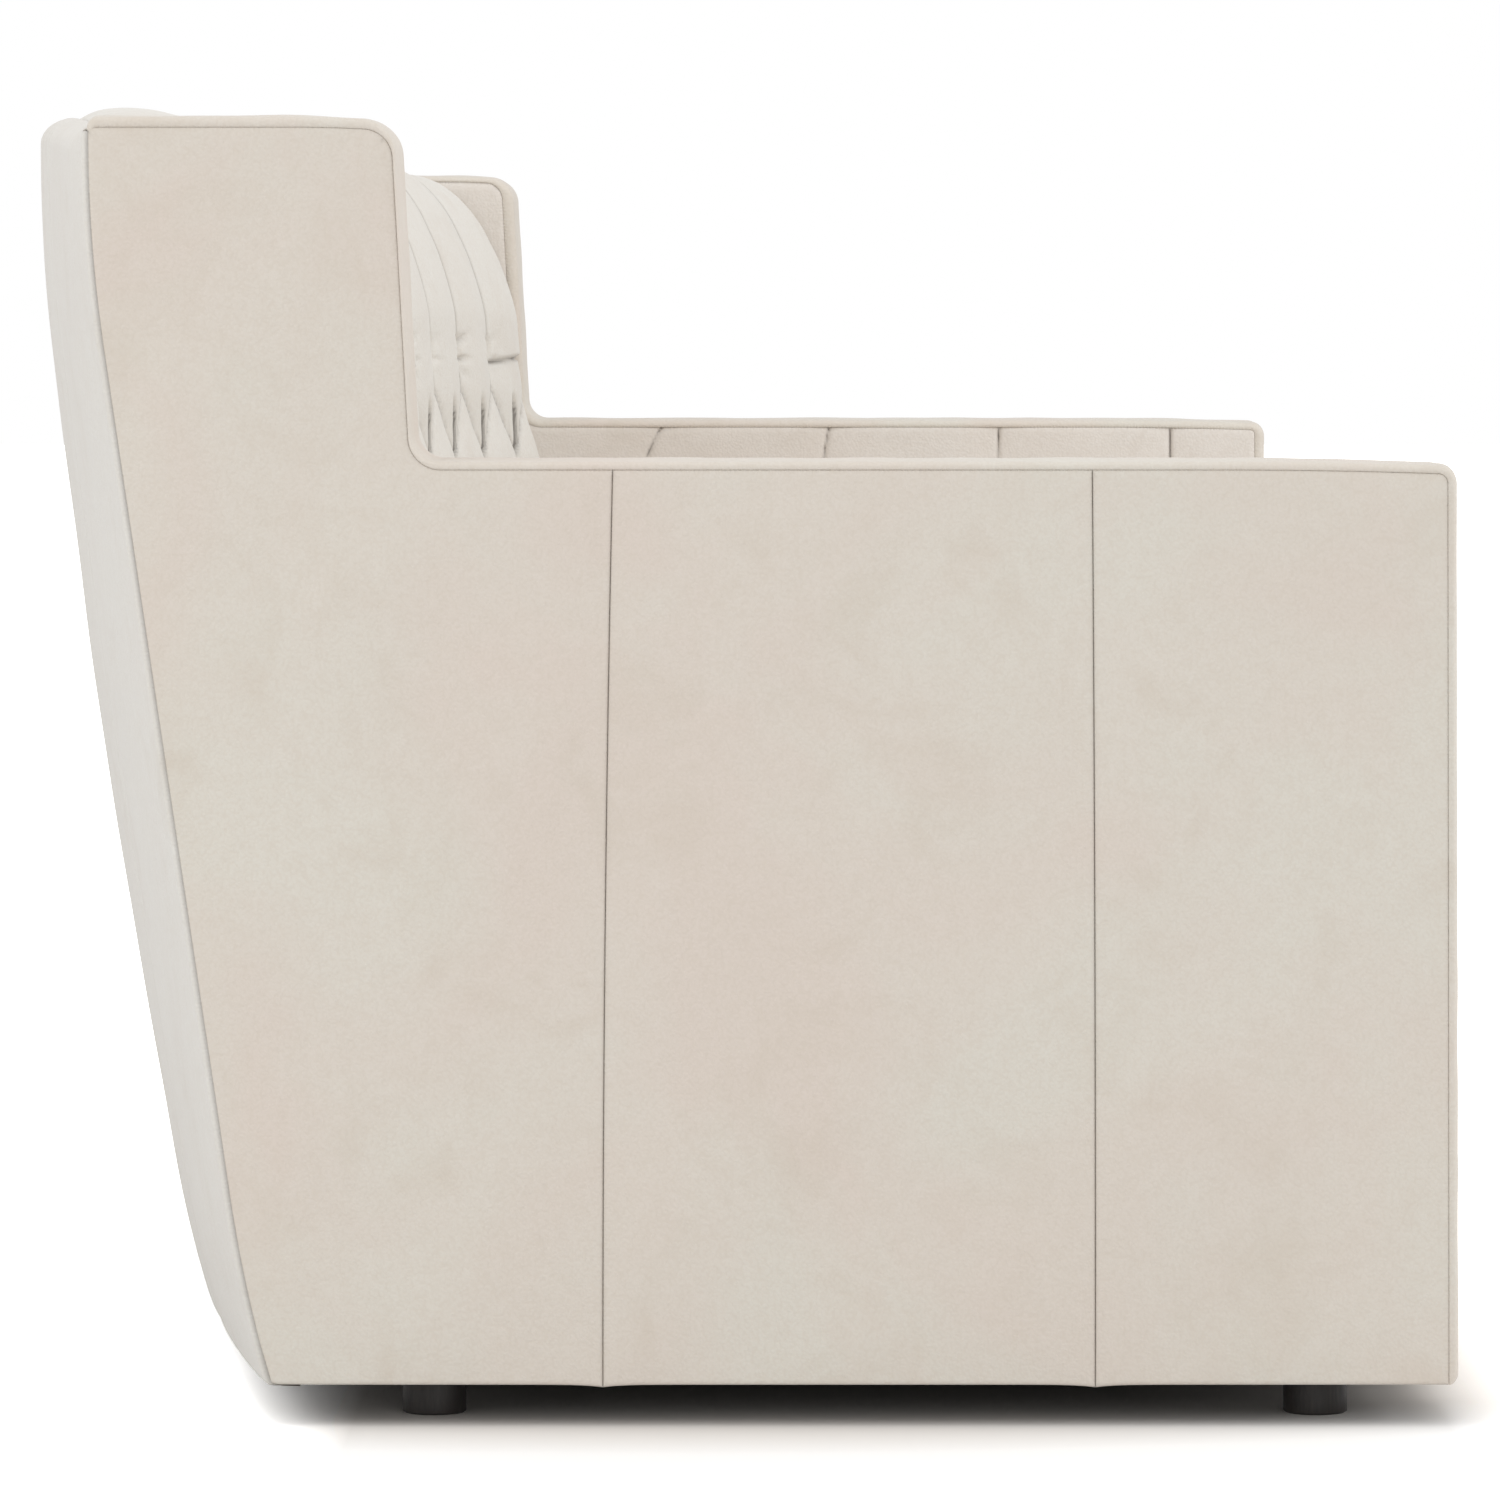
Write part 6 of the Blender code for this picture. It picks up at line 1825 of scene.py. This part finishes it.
@dataclass
class Underside:
    """The black lining under the frame, and the turned feet."""

    finishes: Finishes
    foot_radius: float = 0.0208
    side_inset: float = 0.0715
    front_inset: float = 0.0875
    rear_inset: float = 0.111
    height: float = 0.028
    lining_thickness: float = 0.0012
    lining_setback: float = 0.0183
    foot_edge: float = 0.0008

    def lining(self) -> None:
        """The lining: a thin stretched sheet with a bowed rear edge."""
        half = SIZES.half - SIZES.side_thickness - SIZES.gap
        x = np.linspace(-half, half, 91)
        front_y = SIZES.front + self.lining_setback
        rear_y = SIZES.lining_y(x, SIZES.clearance) - SIZES.gap
        share = np.linspace(0, 1, 41)
        y = front_y + (rear_y - front_y)[:, None] * share[None]
        grid_x = np.broadcast_to(x[:, None], y.shape)
        inside = np.minimum(np.minimum(share, 1 - share)[None], 0.5 - np.abs(x[:, None]) / half / 2)
        inside = np.clip(inside * 12, 0, 1)
        z = self.height + 0.0002 + 0.0003 * inside * (1 + ripple(grid_x, y, 0.3, 47)) / 2
        front = np.stack([grid_x, y, z], 2)
        back = front + [0, 0, self.lining_thickness - 0.0003]
        surface = slab(front, back, coordinates(grid_x, FAR, FAR)).outwards()
        piece = surface.build("bottom_lining", self.finishes.dust_cover)
        dress(piece, "sofa_frame", ["dust_cover"])

    def feet(self) -> None:
        """The feet: a profile of a chamfered cylinder turned about each upright axis."""
        front_y = SIZES.front + self.front_inset
        rear_y = SIZES.base_rear - self.rear_inset
        x = SIZES.half - self.side_inset
        places = {"left_front": (-x, front_y), "right_front": (x, front_y), "left_rear": (-x, rear_y),
                  "right_rear": (x, rear_y), "centre": (0.0, (front_y + rear_y) / 2)}
        top = self.height - SIZES.gap
        turn = np.linspace(0, math.pi / 2, 6)
        edge = self.foot_edge
        radius = np.concatenate([[self.foot_radius * 0.93, self.foot_radius * 0.95],
                                 self.foot_radius - edge * (1 - np.sin(turn)),
                                 [self.foot_radius, self.foot_radius, self.foot_radius - 0.0006]])
        height = np.concatenate([[0.0, 0.0006], 0.0006 + edge * (1 - np.cos(turn)),
                                 [0.012, top - 0.0006, top]])
        around = np.linspace(0, 2 * math.pi, 64, endpoint=False)
        for place, (foot_x, foot_y) in places.items():
            ring = np.stack([np.cos(around), np.sin(around)], 1)
            points = np.empty((len(radius), len(around), 3))
            points[..., :2] = radius[:, None, None] * ring[None] + [foot_x, foot_y]
            points[..., 2] = height[:, None]
            index = np.arange(points.shape[0] * points.shape[1]).reshape(points.shape[:2])
            there = np.roll(index, -1, axis=1)
            quads = np.stack([index[:-1], there[:-1], there[1:], index[1:]], 2).reshape(-1, 4)
            surface = Surface(points.reshape(-1, 3), quads, [index[0, ::-1], index[-1]])
            piece = surface.outwards().build(f"{place}_round_foot", self.finishes.foot, 35)
            dress(piece, "sofa_frame", [f"{place}_foot"])


@dataclass
class HiddenFrame:
    """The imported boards, springs and webbing, which keep their shapes and get their finishes."""

    finishes: Finishes

    def build(self) -> None:
        """Give each shown node its finish."""
        for name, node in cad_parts.items():
            if node.hide_render:
                continue
            if name == "seat_spring_unit":
                material = self.finishes.wire
            elif name == "back_webbing_panel":
                material = self.finishes.webbing
            elif name.endswith("post") or name.endswith("wing_frame"):
                material = self.finishes.board_upright
            else:
                material = self.finishes.board
            node.data.materials.clear()
            node.data.materials.append(material)
            LOG.info("%s: finished with %s", name, material.name)


@dataclass(frozen=True)
class Lamp:
    """A rectangular lamp: its place, the point that it faces, its width and height, and its watts."""

    name: str
    place: Triple
    aim: Triple
    size: tuple[float, float]
    power: float

    def hang(self) -> None:
        """Put the lamp into the scene, turned to its aim."""
        light = bpy.data.lights.new(self.name, "AREA")
        light.shape = "RECTANGLE"
        light.size, light.size_y = self.size
        light.energy = self.power
        lamp = bpy.data.objects.new(self.name, light)
        bpy.context.scene.collection.objects.link(lamp)
        way = np.array(self.aim) - np.array(self.place)
        way = way / np.linalg.norm(way)
        lamp.location = self.place
        lamp.rotation_euler = (math.acos(-way[2]), 0.0, math.atan2(way[1], way[0]) - math.pi / 2)


LAMPS = (
    Lamp("overhead", (-0.3, -0.1, 4.2), (0.0, 0.0, 0.4), (4.5, 3.5), 41),
    Lamp("left_rear_fill", (-3.0, 3.4, 1.6), (-0.8, 0.3, 0.5), (2.5, 2.5), 36),
    Lamp("left_fill", (-7.2, -1.2, 1.7), (-1.0, 0.0, 0.45), (3.0, 2.4), 45),
    Lamp("front_fill", (-0.8, -4.2, 1.5), (0.0, 0.0, 0.5), (3.0, 2.0), 47),
)


@dataclass
class Studio:
    """The pale floor, the soft light and the camera."""

    distance: float = 6.345
    eye: tuple[float, float] = (-0.073, 0.711)
    lens: float = 194.7
    tilt: float = math.radians(1.52)
    shift: tuple[float, float] = (-0.0333, -0.143)
    painted_shade_fade: tuple[float, float] = (1.13, 1.28)
    far_edge: tuple[float, float] = (1.7, 4.0)
    painted_light_rear: tuple[float, float] = (0.215, 0.31)
    painted_light_front: tuple[float, float] = (-0.49, -0.60)

    def floor(self) -> None:
        """A wide floor that is white to the camera and pale to everything else. To the camera it has painted shade
        under the sofa, and painted light behind and in front of it where its shadow falls.
        """
        mesh = bpy.data.meshes.new("floor")
        reach = 40.0
        mesh.from_pydata([(-reach, -reach, 0), (reach, -reach, 0), (reach, reach, 0), (-reach, reach, 0)], [],
                         [(0, 1, 2, 3)])
        nodes = Nodes("studio_floor")
        rays = nodes.add("ShaderNodeLightPath").outputs
        nodes.tree.nodes.remove(nodes.shader)
        distance = nodes.add("ShaderNodeVectorMath", {0: nodes.place}, operation="LENGTH").outputs["Value"]
        depth = nodes.add("ShaderNodeSeparateXYZ", {0: nodes.place}).outputs["Y"]
        # Painted light: the floor's colour rises behind and in front of the sofa, where its shadow falls.
        beside = nodes.math("MAXIMUM", nodes.spread(depth, *self.painted_light_rear),
                            nodes.spread(depth, *self.painted_light_front, 0.0, 0.6))
        clear = nodes.math("MAXIMUM", nodes.spread(distance, *self.painted_shade_fade), beside)
        # Painted shade: a warm, darker floor colour under and round the sofa.
        near = nodes.mix(clear, (0.76, 0.72, 0.68, 1.0), (1.02, 1.02, 1.02, 1.0))
        away = nodes.math("MAXIMUM", nodes.spread(distance, *self.far_edge), beside)
        seen = nodes.mix(away, near, (2.4, 2.4, 2.4, 1.0))
        tint = nodes.mix(rays["Is Camera Ray"], (0.80, 0.80, 0.80, 1.0), seen)
        diffuse = nodes.add("ShaderNodeBsdfDiffuse", {"Color": tint}).outputs[0]
        nodes.join(diffuse, nodes.tree.nodes["Material Output"].inputs["Surface"])
        mesh.materials.append(nodes.material)
        floor = bpy.data.objects.new("floor", mesh)
        bpy.context.scene.collection.objects.link(floor)

    def world(self) -> None:
        """An even sky, white where the camera sees it."""
        world = bpy.data.worlds.new("studio")
        bpy.context.scene.world = world
        world.use_nodes = True
        tree = world.node_tree
        background = tree.nodes["Background"]
        rays = tree.nodes.new("ShaderNodeLightPath").outputs
        seen = tree.nodes.new("ShaderNodeMath")
        seen.operation = "MAXIMUM"
        tree.links.new(rays["Is Camera Ray"], seen.inputs[0])
        tree.links.new(rays["Is Transmission Ray"], seen.inputs[1])
        strength = tree.nodes.new("ShaderNodeMapRange")
        strength.inputs["To Min"].default_value = 0.80
        strength.inputs["To Max"].default_value = 1.0
        tree.links.new(seen.outputs[0], strength.inputs["Value"])
        background.inputs["Color"].default_value = (1.0, 1.0, 1.0, 1.0)
        tree.links.new(strength.outputs["Result"], background.inputs["Strength"])

    def camera(self) -> None:
        """The photograph's view: along the width, from the left end, with a long lens."""
        camera = bpy.data.cameras.new("camera")
        camera.lens = self.lens
        camera.sensor_width = 36.0
        camera.shift_x, camera.shift_y = self.shift
        camera.clip_end = 200.0
        eye = bpy.data.objects.new("camera", camera)
        bpy.context.scene.collection.objects.link(eye)
        eye.location = (-self.distance, *self.eye)
        eye.rotation_euler = (math.radians(90) - self.tilt, 0.0, math.radians(-90))
        bpy.context.scene.camera = eye

    def build(self) -> None:
        """Set the stage."""
        self.floor()
        self.world()
        for lamp in LAMPS:
            lamp.hang()
        self.camera()
        bpy.context.scene.view_settings.view_transform = "Standard"


def main() -> None:
    """Build every sub-assembly in order and set the stage."""
    logging.basicConfig(level=logging.INFO, format="%(name)s: %(message)s")
    finishes = Finishes.make()
    for side in Side:
        BorderStrip(side, finishes).build()
        OuterSide(side, finishes).build()
        InnerSide(side, finishes).build()
        SeatCushion(side, finishes).build()
    OuterBack(finishes).build()
    TuftedBack(finishes).build()
    base = SeatBase(finishes)
    base.border()
    base.deck()
    underside = Underside(finishes)
    underside.lining()
    underside.feet()
    HiddenFrame(finishes).build()
    Studio().build()


if __name__ == "__main__":
    main()
